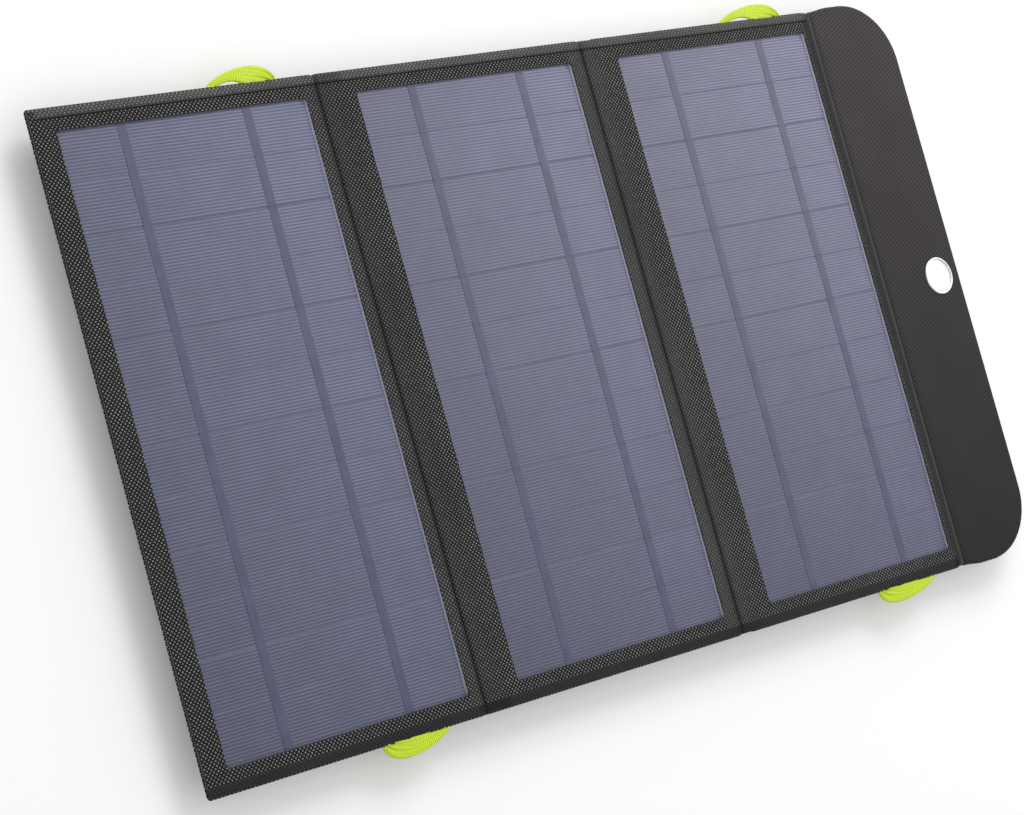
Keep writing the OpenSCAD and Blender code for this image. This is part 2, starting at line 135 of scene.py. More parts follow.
def wire(tree, node, inputs):
    """Sets a node's sockets: a value is set, and another node's socket is linked."""
    for socket, value in inputs.items():
        if isinstance(value, bpy.types.NodeSocket):
            tree.links.new(value, node.inputs[socket])
        else:
            node.inputs[socket].default_value = value


def add(tree, kind, inputs, output=0, **settings):
    """Adds a node with its settings and its inputs, and returns one of its outputs."""
    node = tree.nodes.new(kind)
    for name, value in settings.items():
        setattr(node, name, value)
    wire(tree, node, inputs)
    return node.outputs[output]


def start_material(name):
    """An empty material with a Principled shader wired to its output."""
    material = bpy.data.materials.new(name)
    material.use_nodes = True
    tree = material.node_tree
    tree.nodes.clear()
    shader = tree.nodes.new("ShaderNodeBsdfPrincipled")
    output = tree.nodes.new("ShaderNodeOutputMaterial")
    tree.links.new(shader.outputs[0], output.inputs[0])
    return material, tree, shader


def painted(tree, attribute):
    """The value that the mesh stores under a name; it is 0 on a mesh that stores none."""
    return add(tree, "ShaderNodeAttribute", {}, output="Fac", attribute_name=attribute)


def patches_of(tree, place, scale, detail, least, most):
    """Random soft patches whose level runs between two values: noise, stretched and cut off."""
    noise = add(tree, "ShaderNodeTexNoise", {"Vector": place, "Scale": scale, "Detail": detail})
    level = {"Value": noise, "From Min": 0.3, "From Max": 0.7, "To Min": least, "To Max": most}
    return add(tree, "ShaderNodeMapRange", level)


def woven_polyester(name, dark, light, thread):
    """600D polyester oxford in a plain weave of two yarns: pale weft floats pepper a black warp.
    The real yarns are about 0.6 mm apart, and they are drawn a little coarser so that they show.
    """
    material, tree, shader = start_material(name)
    uv = add(tree, "ShaderNodeUVMap", {}, uv_map=CLOTH_UV)
    turns = add(tree, "ShaderNodeVectorMath", {0: uv, "Scale": math.pi / thread}, operation="SCALE")
    turned_x = add(tree, "ShaderNodeSeparateXYZ", {0: turns}, output="X")
    turned_y = add(tree, "ShaderNodeSeparateXYZ", {0: turns}, output="Y")
    warp = add(tree, "ShaderNodeMath", {0: turned_x}, operation="SINE")
    weft = add(tree, "ShaderNodeMath", {0: turned_y}, operation="SINE")
    over = add(tree, "ShaderNodeMath", {0: warp, 1: weft}, operation="MULTIPLY")
    floats = {"Value": over, "From Min": 0.2, "From Max": 0.85}
    floats = add(tree, "ShaderNodeMapRange", floats, interpolation_type="SMOOTHSTEP")
    # Slubs: thick and thin places of the yarn, about 2 mm long.
    slub = patches_of(tree, uv, 420.0, 2.0, 0.45, 1.0)
    amount = add(tree, "ShaderNodeMath", {0: floats, 1: slub}, operation="MULTIPLY")
    even = add(tree, "ShaderNodeMix", {0: painted(tree, "calm"), 2: amount, 3: 0.17})
    yarns = add(tree, "ShaderNodeMix", {0: even, 6: dark, 7: light}, output=2, data_type="RGBA")
    # The tone attribute holds painted light: a painted highlight on the upper hem and painted shade in
    # its groove, the lower hem and the creases.
    gain = add(tree, "ShaderNodeMath", {0: painted(tree, "tone"), 1: 1.0}, operation="ADD")
    # Wear and handling shade the cloth in clouds about 40 mm wide.
    shade = patches_of(tree, uv, 26.0, 3.0, 0.86, 1.12)
    level = add(tree, "ShaderNodeMath", {0: gain, 1: shade}, operation="MULTIPLY")
    colour = add(tree, "ShaderNodeVectorMath", {0: yarns, "Scale": level}, operation="SCALE")
    bulge = add(tree, "ShaderNodeMath", {0: over}, operation="ABSOLUTE")
    normal = {"Height": bulge, "Strength": 0.7, "Distance": 0.22 * MM}
    rough = {"Value": amount, "To Min": 0.74, "To Max": 0.58}
    looks = {
        "Base Color": colour,
        "Roughness": add(tree, "ShaderNodeMapRange", rough),
        "Normal": add(tree, "ShaderNodeBump", normal),
        "Sheen Weight": 0.05,
        "Sheen Roughness": 0.5,
        "Specular IOR Level": 0.2,
    }
    wire(tree, shader, looks)
    return material


def polyester_twill(name, dark, light, wale):
    """Fine polyester twill: diagonal wales under 2 mm apart, a touch warm and slightly shiny. A painted
    falloff of the light makes it darker towards the lower end of the flap and lighter towards the top."""
    material, tree, shader = start_material(name)
    uv = add(tree, "ShaderNodeUVMap", {}, uv_map=CLOTH_UV)
    slant = (0.0, 0.0, math.radians(63.5))
    turned = add(tree, "ShaderNodeMapping", {"Vector": uv, "Rotation": slant})
    across = add(tree, "ShaderNodeSeparateXYZ", {0: turned}, output="X")
    along = add(tree, "ShaderNodeSeparateXYZ", {0: turned}, output="Y")
    across = add(tree, "ShaderNodeMath", {0: across, 1: 2 * math.pi / wale}, operation="MULTIPLY")
    along = add(tree, "ShaderNodeMath", {0: along, 1: 3 * math.pi / wale}, operation="MULTIPLY")
    wales = add(tree, "ShaderNodeMath", {0: across}, operation="SINE")
    threads = add(tree, "ShaderNodeMath", {0: along}, operation="SINE")
    cut = add(tree, "ShaderNodeMath", {0: threads, 1: 0.7, 2: wales}, operation="MULTIPLY_ADD")
    ridge = {"Value": cut, "From Min": -1.5, "From Max": 1.5}
    ridge = add(tree, "ShaderNodeMapRange", ridge, interpolation_type="SMOOTHSTEP")
    yarns = add(tree, "ShaderNodeMix", {0: ridge, 6: dark, 7: light}, output=2, data_type="RGBA")
    # Handling shades the cloth in clouds about 30 mm wide.
    shade = patches_of(tree, uv, 34.0, 3.0, 0.9, 1.1)
    # Painted light: the colour is lighter towards the top of the flap and darker towards its lower end,
    # as the light falls off.
    place = add(tree, "ShaderNodeTexCoord", {}, output="Object")
    height = add(tree, "ShaderNodeSeparateXYZ", {0: place}, output="Y")
    painted_light_falloff = {"Value": height, "From Min": -BODY_HALF, "From Max": BODY_HALF, "To Min": 0.4, "To Max": 1.25}
    painted_light_falloff = add(tree, "ShaderNodeMapRange", painted_light_falloff)
    level = add(tree, "ShaderNodeMath", {0: shade, 1: painted_light_falloff}, operation="MULTIPLY")
    colour = add(tree, "ShaderNodeVectorMath", {0: yarns, "Scale": level}, operation="SCALE")
    normal = {"Height": ridge, "Strength": 0.6, "Distance": 0.12 * MM}
    looks = {
        "Base Color": colour,
        "Roughness": 0.62,
        "Normal": add(tree, "ShaderNodeBump", normal),
        "Sheen Weight": 0.05,
        "Sheen Roughness": 0.45,
        "Specular IOR Level": 0.2,
    }
    wire(tree, shader, looks)
    return material


def nylon_webbing(name, base, shadow, rib):
    """Dyed nylon tape: crosswise ribs under 1 mm apart, bright on their crests, with painted shade deep
    between them.
    Rows of strands run along it, 1.3 mm apart, with painted shade between the rows."""
    material, tree, shader = start_material(name)
    along = {0: painted(tree, "along"), 1: 2 * math.pi / rib}
    across = {0: painted(tree, "across"), 1: 2 * math.pi / (1.3 * MM)}
    turns = add(tree, "ShaderNodeMath", along, operation="MULTIPLY")
    strands = add(tree, "ShaderNodeMath", across, operation="MULTIPLY")
    ribs = add(tree, "ShaderNodeMath", {0: turns}, operation="SINE")
    rows = add(tree, "ShaderNodeMath", {0: strands}, operation="SINE")
    crest = add(tree, "ShaderNodeMapRange", {"Value": ribs, "From Min": -1.0, "From Max": 0.4})
    row = {"Value": rows, "From Min": -1.0, "From Max": 0.0, "To Min": 0.55, "To Max": 1.0}
    row = add(tree, "ShaderNodeMapRange", row)
    level = add(tree, "ShaderNodeMath", {0: crest, 1: row}, operation="MULTIPLY")
    # Painted shade: the dye runs to the shadow colour between the ribs and between the rows of strands.
    dye_and_shade = add(tree, "ShaderNodeMix", {0: level, 6: shadow, 7: base}, output=2, data_type="RGBA")
    normal = {"Height": level, "Strength": 0.8, "Distance": 0.2 * MM}
    looks = {
        "Base Color": dye_and_shade,
        "Roughness": 0.5,
        "Normal": add(tree, "ShaderNodeBump", normal),
        "Subsurface Weight": 0.08,
        "Subsurface Radius": (1.2 * MM, 1.4 * MM, 0.4 * MM),
    }
    wire(tree, shader, looks)
    return material


def silicon_cells(name, middle, colour, line, band):
    """Monocrystalline silicon with a blue nitride coat, seen through frosted PET: milky and satin.
    Fine silver fingers lie across each strip, and the tab ribbons' adhesive darkens a soft band.
    """
    material, tree, shader = start_material(name)
    place = add(tree, "ShaderNodeTexCoord", {}, output="Object")
    centred = add(tree, "ShaderNodeMapping", {"Vector": place, "Location": (-middle, 0.0, 0.0)})
    x = add(tree, "ShaderNodeSeparateXYZ", {0: centred}, output="X")
    y = add(tree, "ShaderNodeSeparateXYZ", {0: centred}, output="Y")
    # The fingers are drawn 1.4 mm apart, and waver a little, as printed paste does.
    drift = add(tree, "ShaderNodeTexNoise", {"Vector": place, "Scale": 160.0, "Detail": 2.0})
    waver = add(tree, "ShaderNodeMath", {0: drift, 1: 1.1}, operation="MULTIPLY")
    turns = {0: y, 1: 2 * math.pi / (1.4 * MM), 2: waver}
    turns = add(tree, "ShaderNodeMath", turns, operation="MULTIPLY_ADD")
    wave = add(tree, "ShaderNodeMath", {0: turns}, operation="SINE")
    fingers = {"Value": wave, "From Min": -0.5, "From Max": 0.8}
    fingers = add(tree, "ShaderNodeMapRange", fingers, interpolation_type="SMOOTHSTEP")
    patch = add(tree, "ShaderNodeTexNoise", {"Vector": place, "Scale": 60.0, "Detail": 4.0})
    strength = {"Value": patch, "From Min": 0.35, "From Max": 0.65, "To Min": 0.8, "To Max": 1.0}
    strength = add(tree, "ShaderNodeMapRange", strength)
    lines = add(tree, "ShaderNodeMath", {0: fingers, 1: strength}, operation="MULTIPLY")
    coat = add(tree, "ShaderNodeMix", {0: lines, 6: colour, 7: line}, output=2, data_type="RGBA")
    # The ribbons lie a quarter of the window's width to each side of its middle.
    quarter = (WINDOWS["left"][1] - WINDOWS["left"][0]) / 4
    side = add(tree, "ShaderNodeMath", {0: x}, operation="ABSOLUTE")
    off = add(tree, "ShaderNodeMath", {0: side, 1: quarter}, operation="SUBTRACT")
    reach = add(tree, "ShaderNodeMath", {0: off}, operation="ABSOLUTE")
    near = {"Value": reach, "From Min": 1.9 * MM, "From Max": 2.9 * MM, "To Min": 0.6, "To Max": 0.0}
    near = add(tree, "ShaderNodeMapRange", near, interpolation_type="SMOOTHSTEP")
    banded = add(tree, "ShaderNodeMix", {0: near, 6: coat, 7: band}, output=2, data_type="RGBA")
    # Each strip has its own tone, and the tint drifts in small patches. Painted reflection of the light:
    # each panel is made lighter towards its right and its top.
    strip = {0: y, 1: 1 / STRIP_PITCH, 2: 50.0}
    strip = add(tree, "ShaderNodeMath", strip, operation="MULTIPLY_ADD")
    number = add(tree, "ShaderNodeMath", {0: strip}, operation="FLOOR")
    lot = add(tree, "ShaderNodeTexWhiteNoise", {"W": number}, noise_dimensions="1D")
    level = add(tree, "ShaderNodeMapRange", {"Value": lot, "To Min": 0.97, "To Max": 1.03})
    for value, start, end, least, most in (
        (x, -2 * quarter, 2 * quarter, 0.86, 1.14),
        (y, -WINDOW_HALF, WINDOW_HALF, 0.83, 1.08),
        (patch, 0.3, 0.7, 0.98, 1.02),
    ):
        share = {"Value": value, "From Min": start, "From Max": end, "To Min": least, "To Max": most}
        share = add(tree, "ShaderNodeMapRange", share)
        level = add(tree, "ShaderNodeMath", {0: level, 1: share}, operation="MULTIPLY")
    colour = add(tree, "ShaderNodeVectorMath", {0: banded, "Scale": level}, operation="SCALE")
    normal = {"Height": lines, "Strength": 0.15, "Distance": 0.05 * MM}
    looks = {
        "Base Color": colour,
        "Roughness": 0.5,
        "Normal": add(tree, "ShaderNodeBump", normal),
        "Specular IOR Level": 0.5,
        "Coat Weight": 0.5,
        "Coat Roughness": 0.38,
    }
    wire(tree, shader, looks)
    return material


def frosted_film(name, right_edge, colour):
    """Frosted PET laminate, with a painted highlight along its right edge, where the laminate's edge
    would catch the light.
    The rest of it is left clear here, because the cells below carry its milky tint and its satin coat."""
    material, tree, shader = start_material(name)
    place = add(tree, "ShaderNodeTexCoord", {}, output="Object")
    peel = add(tree, "ShaderNodeTexNoise", {"Vector": place, "Scale": 1500.0, "Detail": 1.0})
    normal = {"Height": peel, "Strength": 0.1, "Distance": 0.02 * MM}
    # Painted highlight: a pale line just inside the right edge, shown only there through the alpha.
    bead = {
        "Value": add(tree, "ShaderNodeSeparateXYZ", {0: place}, output="X"),
        "From Min": right_edge - 1.2 * MM,
        "From Max": right_edge - 0.8 * MM,
        "To Max": 0.42,
    }
    looks = {
        "Base Color": colour,
        "Roughness": 0.36,
        "Normal": add(tree, "ShaderNodeBump", normal),
        "Alpha": add(tree, "ShaderNodeMapRange", bead, interpolation_type="SMOOTHSTEP"),
        "IOR": 1.5,
    }
    wire(tree, shader, looks)
    return material


def plain_finish(name, colour, roughness, grain, depth, **sockets):
    """A moulded, cast or drawn finish: a fine grain of the given width and depth mottles and
    roughens one colour. It serves boards, plastics, rubber and small metal fittings.
    """
    material, tree, shader = start_material(name)
    place = add(tree, "ShaderNodeTexCoord", {}, output="Object")
    specks = add(tree, "ShaderNodeTexNoise", {"Vector": place, "Scale": 1 / grain, "Detail": 3.0})
    level = patches_of(tree, place, 0.04 / grain, 2.0, 0.88, 1.1)
    rough = {"Value": specks, "To Min": roughness * 0.85, "To Max": min(1.0, roughness * 1.15)}
    normal = {"Height": specks, "Strength": 0.4, "Distance": depth}
    colour = add(tree, "ShaderNodeVectorMath", {0: colour[:3], "Scale": level}, operation="SCALE")
    looks = {
        "Base Color": colour,
        "Roughness": add(tree, "ShaderNodeMapRange", rough),
        "Normal": add(tree, "ShaderNodeBump", normal),
    }
    wire(tree, shader, looks | sockets)
    return material


# ---------------------------------------------------------------- mesh work


def weld(points, quads, attributes, gap=1e-7):
    """Joins points closer than gap; quads that lose a corner become triangles."""
    key = np.round(points / gap).astype(np.int64)
    _, first, to = np.unique(key, axis=0, return_index=True, return_inverse=True)
    quads = to.reshape(-1)[quads]
    same = quads == np.roll(quads, -1, axis=1)
    lost = same.sum(axis=1)
    whole, slim = quads[lost == 0], quads[lost == 1]
    triangles = slim[~same[lost == 1]].reshape(-1, 3)
    used = np.unique(np.concatenate([whole.ravel(), triangles.ravel()]))
    number = np.zeros(len(first), int)
    number[used] = np.arange(len(used))
    kept = {name: values[first][used] for name, values in attributes.items()}
    return points[first][used], number[whole], number[triangles], kept


def cloth_map(mesh):
    """Lays a weave on a mesh at true scale: each face takes the two coordinates, in metres,
    of the plane that it faces most."""
    count = len(mesh.loops)
    corners = np.zeros(count, int)
    mesh.loops.foreach_get("vertex_index", corners)
    places = np.zeros(len(mesh.vertices) * 3)
    mesh.vertices.foreach_get("co", places)
    places = places.reshape(-1, 3)[corners]
    normals = np.zeros(len(mesh.polygons) * 3)
    mesh.polygons.foreach_get("normal", normals)
    totals = np.zeros(len(mesh.polygons), int)
    mesh.polygons.foreach_get("loop_total", totals)
    facing = np.repeat(np.abs(normals.reshape(-1, 3)).argmax(axis=1), totals)
    first = np.where(facing == 0, 1, 0)
    second = np.where(facing == 2, 1, 2)
    row = np.arange(count)
    layer = mesh.uv_layers.get(CLOTH_UV) or mesh.uv_layers.new(name=CLOTH_UV)
    flat = np.stack([places[row, first], places[row, second]], axis=-1)
    layer.data.foreach_set("uv", flat.astype(np.float32).ravel())


def sharpen(mesh, degrees=50):
    """Marks as sharp the edges that bend more than an angle, and the mesh's open edges."""
    mesh.set_sharp_from_angle(angle=math.radians(degrees))
    users = np.zeros(len(mesh.loops), int)
    mesh.loops.foreach_get("edge_index", users)
    sharp = np.zeros(len(mesh.edges), bool)
    mesh.edges.foreach_get("use_edge_sharp", sharp)
    sharp |= np.bincount(users, minlength=len(sharp)) == 1
    mesh.edges.foreach_set("use_edge_sharp", sharp)


def add_piece(name, points, quads, material, slot, attributes=None, closed=False):
    """Makes a mesh object from points and quads, welded and smooth, with its cloth map."""
    points, whole, triangles, kept = weld(points, quads, attributes or {})
    mesh = bpy.data.meshes.new(name)
    mesh.from_pydata(points.tolist(), [], whole.tolist() + triangles.tolist())
    if closed:
        work = bmesh.new()
        work.from_mesh(mesh)
        bmesh.ops.recalc_face_normals(work, faces=work.faces)
        work.to_mesh(mesh)
        work.free()
    for key, values in kept.items():
        layer = mesh.attributes.new(key, "FLOAT", "POINT")
        layer.data.foreach_set("value", values.astype(np.float32))
    mesh.polygons.foreach_set("use_smooth", np.ones(len(mesh.polygons), bool))
    sharpen(mesh)
    cloth_map(mesh)
    mesh.materials.append(material)
    piece = bpy.data.objects.new(name, mesh)
    bpy.context.scene.collection.objects.link(piece)
    return piece


def grid_quads(rows, columns, wrap_rows=False, wrap_columns=False):
    """Quads of a grid of points stored row by row, which may close on itself."""
    i = np.arange(rows if wrap_rows else rows - 1)[:, None]
    j = np.arange(columns if wrap_columns else columns - 1)[None, :]

    def at(a, b):
        return (a % rows) * columns + b % columns

    corners = [at(i, j), at(i + 1, j), at(i + 1, j + 1), at(i, j + 1)]
    return np.stack(corners, axis=-1).reshape(-1, 4)


def slab(top, bottom):
    """Closed solid between two grids of points: a ring over the top and back underneath,
    with both ends capped."""
    ring = np.concatenate([top, bottom[:, ::-1]], axis=1)
    rows, columns = ring.shape[:2]
    j = np.arange(top.shape[1] - 1)
    cap = np.stack([j, j + 1, columns - 2 - j, columns - 1 - j], axis=-1)
    ends = [cap, cap + (rows - 1) * columns]
    quads = np.concatenate([grid_quads(rows, columns, wrap_columns=True), *ends])
    return ring.reshape(-1, 3), quads


def tube(path, radius, sides, axis, closed=False):
    """Round tube: at each point of the path, a circle of the radius stands square to the path.
    The axis is a direction that the path never runs along."""
    ahead = np.roll(path, -1, axis=0) - np.roll(path, 1, axis=0)
    if not closed:
        ahead[0] = path[1] - path[0]
        ahead[-1] = path[-1] - path[-2]
    ahead /= np.linalg.norm(ahead, axis=1, keepdims=True)
    out = axis - (ahead @ axis)[:, None] * ahead
    out /= np.linalg.norm(out, axis=1, keepdims=True)
    side = np.cross(ahead, out)
    turn = np.linspace(0, 2 * math.pi, sides, endpoint=False)
    radius = np.broadcast_to(np.asarray(radius, float), len(path))[:, None, None]
    circle = np.cos(turn)[None, :, None] * out[:, None] + np.sin(turn)[None, :, None] * side[:, None]
    points = path[:, None] + radius * circle
    quads = grid_quads(len(path), sides, wrap_rows=closed, wrap_columns=True)
    return points.reshape(-1, 3), quads


def lathe(profile, steps=96):
    """Surface of revolution about Z: each (radius, height) of the profile is turned a full circle."""
    turn = np.linspace(0, 2 * math.pi, steps, endpoint=False)
    radius, height = np.array(profile, float).T
    x, y = radius[:, None] * np.cos(turn), radius[:, None] * np.sin(turn)
    points = np.stack([x, y, np.repeat(height[:, None], steps, axis=1)], axis=-1)
    return points.reshape(-1, 3), grid_quads(len(profile), steps, wrap_columns=True)


def spaced(stops, step):
    """Coordinates through every stop, in order and at most a step apart."""
    stops = np.unique(np.round(stops, 8))
    spans = zip(stops, stops[1:])
    parts = [np.linspace(a, b, math.ceil((b - a) / step) + 1)[:-1] for a, b in spans]
    return np.append(np.concatenate(parts), stops[-1])


def rounded_outline(half_x, half_y, radius, per_side=24, per_corner=6):
    """Rectangle with round corners about the origin, anticlockwise, as a closed ring of points."""
    corner_x, corner_y = half_x - radius, half_y - radius
    turn = np.linspace(0, math.pi / 2, per_corner + 1)
    ring = []
    for quarter, (sx, sy) in enumerate(((1, 1), (-1, 1), (-1, -1), (1, -1))):
        angle = turn + quarter * math.pi / 2
        middle = np.array([sx * corner_x, sy * corner_y])
        ring.append(middle + radius * np.stack([np.cos(angle), np.sin(angle)], axis=-1))
    sides = []
    for this, after in zip(ring, ring[1:] + ring[:1]):
        share = np.linspace(0, 1, per_side + 1)[1:-1, None]
        sides += [this, this[-1] * (1 - share) + after[0] * share]
    return np.concatenate(sides)


def along_path(path, pitch, closed=False):
    """Points at equal distances along a path, and the direction of the path at each."""
    path = np.concatenate([path, path[:1]]) if closed else path
    lengths = np.linalg.norm(np.diff(path, axis=0), axis=1)
    run = np.concatenate([[0], np.cumsum(lengths)])
    count = int(run[-1] // pitch)
    at = (np.arange(count) + 0.5) * run[-1] / count
    reach = 0.2 * pitch
    before, points, after = (
        np.stack([np.interp(at + shift, run, c) for c in path.T], axis=-1)
        for shift in (-reach, 0, reach)
    )
    heading = after - before
    return points, heading / np.linalg.norm(heading, axis=1, keepdims=True)


def stitch_row(points, heading, length, width):
    """Stitches: each is an ellipsoid as long and wide as given, laid along its heading."""
    bend = np.radians([-90, -50, 0, 50, 90])
    turn = np.linspace(0, 2 * math.pi, 6, endpoint=False)
    up = np.array([0.0, 0.0, 1.0])
    side = np.cross(up, heading)
    side /= np.linalg.norm(side, axis=1, keepdims=True)
    lengthwise = (length / 2 * np.sin(bend))[None, :, None, None] * heading[:, None, None]
    round_it = (
        np.cos(turn)[None, None, :, None] * side[:, None, None]
        + np.sin(turn)[None, None, :, None] * up * 0.7
    )
    thick = (width / 2 * np.cos(bend))[None, :, None, None]
    made = points[:, None, None] + lengthwise + thick * round_it
    one = grid_quads(len(bend), len(turn), wrap_columns=True)
    each = len(bend) * len(turn)
    quads = one[None] + (np.arange(len(points)) * each)[:, None, None]
    return made.reshape(-1, 3), quads.reshape(-1, 4)


def joined(parts):
    """Several (points, quads) pairs as one."""
    starts = np.cumsum([0] + [len(points) for points, _ in parts[:-1]])
    points = np.concatenate([points for points, _ in parts])
    return points, np.concatenate([quads + start for (_, quads), start in zip(parts, starts)])


def solidify(piece, thickness):
    """Gives a sheet its thickness, behind the side that its faces point to."""
    wall = piece.modifiers.new("thickness", "SOLIDIFY")
    wall.thickness = thickness
    wall.offset = -1.0
    wall.use_even_offset = False


def smooth_step(value, start, end):
    """0 before start and 1 after end, and smooth between."""
    t = np.clip((value - start) / (end - start), 0, 1)
    return t * t * (3 - 2 * t)


# ---------------------------------------------------------------- settings


def length_property(name, description, default_mm):
    """A length that the user sets in scene units, given here in millimetres."""
    return bpy.props.FloatProperty(
        name=name, description=description, default=default_mm * MM, min=0.0, unit="LENGTH"
    )


def colour_property(name, description, hex_colour):
    """A colour that the user sets, given here as an sRGB hex value."""
    start = linear(hex_colour)
    return bpy.props.FloatVectorProperty(
        name=name, description=description, default=start, size=4, min=0.0, max=1.0, subtype="COLOR"
    )


class ChargerSizes(bpy.types.PropertyGroup):
    """Sizes of the sewn and woven detail."""

    thread: length_property("Thread", "Spacing of the cover's yarns", 1.02)
    wale: length_property("Wale", "Spacing of the flap's diagonal ribs", 1.65)
    rib: length_property("Rib", "Spacing of the webbing's ribs", 0.95)
    top_hem: length_property("Upper hem", "Width of the folded hem along the top", 3.8)
    bottom_hem: length_property("Lower hem", "Width of the rolled hem along the bottom", 4.5)
    edge_round: length_property("Edge roll", "Drop of the fabric over the panels' edges", 0.5)
    stitch: length_property("Stitch", "Length of one stitch", 1.7)
    stitch_pitch: length_property("Stitch pitch", "From one stitch to the next", 2.4)
    stitch_width: length_property("Stitch width", "Thickness of the sewing thread", 0.8)
    bend_reach: length_property("Bend reach", "Fabric on each side of a crease that bends", 1.0)
    window_round: length_property("Window corners", "Radius of a window's right corners", 3.0)
    coil_pitch: length_property("Coil pitch", "From one turn of the zip coil to the next", 1.27)


class ChargerColours(bpy.types.PropertyGroup):
    """Colours of the fabrics, cells and fittings."""

    warp: colour_property("Warp", "Dark yarn of the cover", "#0b0b0b")
    weft: colour_property("Weft", "Pale yarn of the cover", "#949491")
    twill_dark: colour_property("Twill valley", "Flap fabric between its ribs", "#1b191a")
    twill_light: colour_property("Twill rib", "Flap fabric on its ribs", "#403b3c")
    neon: colour_property("Webbing", "Loops on their crests", "#e2f828")
    neon_shade: colour_property("Webbing shade", "Loops between their ribs", "#98b812")
    cell: colour_property("Cells", "Nitride coat of the cells", "#3a4059")
    finger: colour_property("Fingers", "Fine silver lines over the cells", "#616584")
    ribbon: colour_property("Ribbons", "Tab ribbons under the film", "#454964")
    thread: colour_property("Thread", "Sewing thread", "#0c0c0d")
    nickel: colour_property("Nickel", "Plated clasp", "#efefec")


class StageSettings(bpy.types.PropertyGroup):
    """Camera and light."""

    camera: bpy.props.FloatVectorProperty(
        name="Camera", description="Place of the camera", size=3, unit="LENGTH",
        default=(-0.8848, -0.0879, 1.0164),
    )
    aim: bpy.props.FloatVectorProperty(
        name="Aim", description="Point that the camera looks at", size=3, unit="LENGTH",
        default=(-0.0513, -0.0168, 0.017),
    )
    roll: bpy.props.FloatProperty(
        name="Roll", description="Turn of the camera about its line of sight",
        default=math.radians(70.84), unit="ROTATION",
    )
    lens: bpy.props.FloatProperty(
        name="Lens", description="Focal length", default=105.7, unit="CAMERA"
    )
    key_power: bpy.props.FloatProperty(
        name="Key", description="Power of the main softbox", default=11.0, min=0.0, unit="POWER"
    )
    ambient: bpy.props.FloatProperty(
        name="Ambient", description="Strength of the white surroundings", default=0.7, min=0.0
    )


class ChargerSettings(bpy.types.PropertyGroup):
    """Everything that the builders read."""

    sizes: bpy.props.PointerProperty(type=ChargerSizes)
    colours: bpy.props.PointerProperty(type=ChargerColours)
    stage: bpy.props.PointerProperty(type=StageSettings)


def settings():
    """The scene's sizes, colours and stage."""
    return bpy.context.scene.solar_charger


def chosen(*names):
    """The colours that the user has set under these names."""
    return [tuple(getattr(settings().colours, name)) for name in names]


def cloth(kind):
    """The named fabric, made the first time that it is asked for."""
    sizes = settings().sizes
    made = bpy.data.materials.get(kind)
    if made:
        return made
    if kind == "polyester_oxford":
        return woven_polyester(kind, *chosen("warp", "weft"), sizes.thread)
    if kind == "polyester_twill":
        return polyester_twill(kind, *chosen("twill_dark", "twill_light"), sizes.wale)
    if kind == "sewing_thread":
        return plain_finish(kind, *chosen("thread"), 0.55, 0.3 * MM, 0.05 * MM)
    return plain_finish(kind, linear("#17171a"), 0.8, 0.5 * MM, 0.1 * MM)


# ---------------------------------------------------------------- front covers


def edge_roll(distance, reach, drop):
    """Drop of a rolled edge: a quarter ellipse that falls by drop over the last reach."""
    t = np.clip(distance / reach, 0, 1)
    return drop * (1 - np.sqrt(np.maximum(1 - (1 - t) ** 2, 0)))


def ridge(value, middle, width):
    """A bell of height 1 about a middle, which has fallen to a third at its width."""
    return np.exp(-(((value - middle) / width) ** 2))


def hem_groove(from_top, from_left, width):
    """1 in the groove under the upper hem, which stops short of the free left edge."""
    hem = settings().sizes.top_hem
    return ridge(from_top, hem + 0.35 * MM, width) * smooth_step(from_left, hem, hem + 1 * MM)


def front_height(x, y):
    """Height of the front fabric: the panels' plane and the raised upper hem, less the rolled
    edges, the groove under the hem and a narrow groove at each of the first two creases."""
    s = settings().sizes
    from_top, from_bottom, from_left = BODY_HALF - y, BODY_HALF + y, x - BODY_LEFT
    drop = np.maximum(
        edge_roll(from_top, 1.0 * MM, s.edge_round), edge_roll(from_left, 0.6 * MM, s.edge_round)
    )
    drop = np.maximum(drop, edge_roll(from_bottom, s.bottom_hem, 2 * s.edge_round))
    band = smooth_step(s.top_hem - from_top, 0, 0.5 * MM)
    band = band * smooth_step(from_left, from_top, from_top + 0.3 * MM)
    height = FACE_Z - drop + 0.2 * MM * band - 0.45 * MM * hem_groove(from_top, from_left, 0.4 * MM)
    for crease in (CREASE_1, CREASE_2):
        height = height - 0.5 * MM * ridge(x, crease, 0.7 * MM)
    return height


def beside(x, crease, width):
    """1 in the slack strip of fabric to the right of a crease, and 0 outside it."""
    return smooth_step(x, crease, crease + 1.2 * MM) * (
        1 - smooth_step(x, crease + width - 1.5 * MM, crease + width + 1.5 * MM)
    )


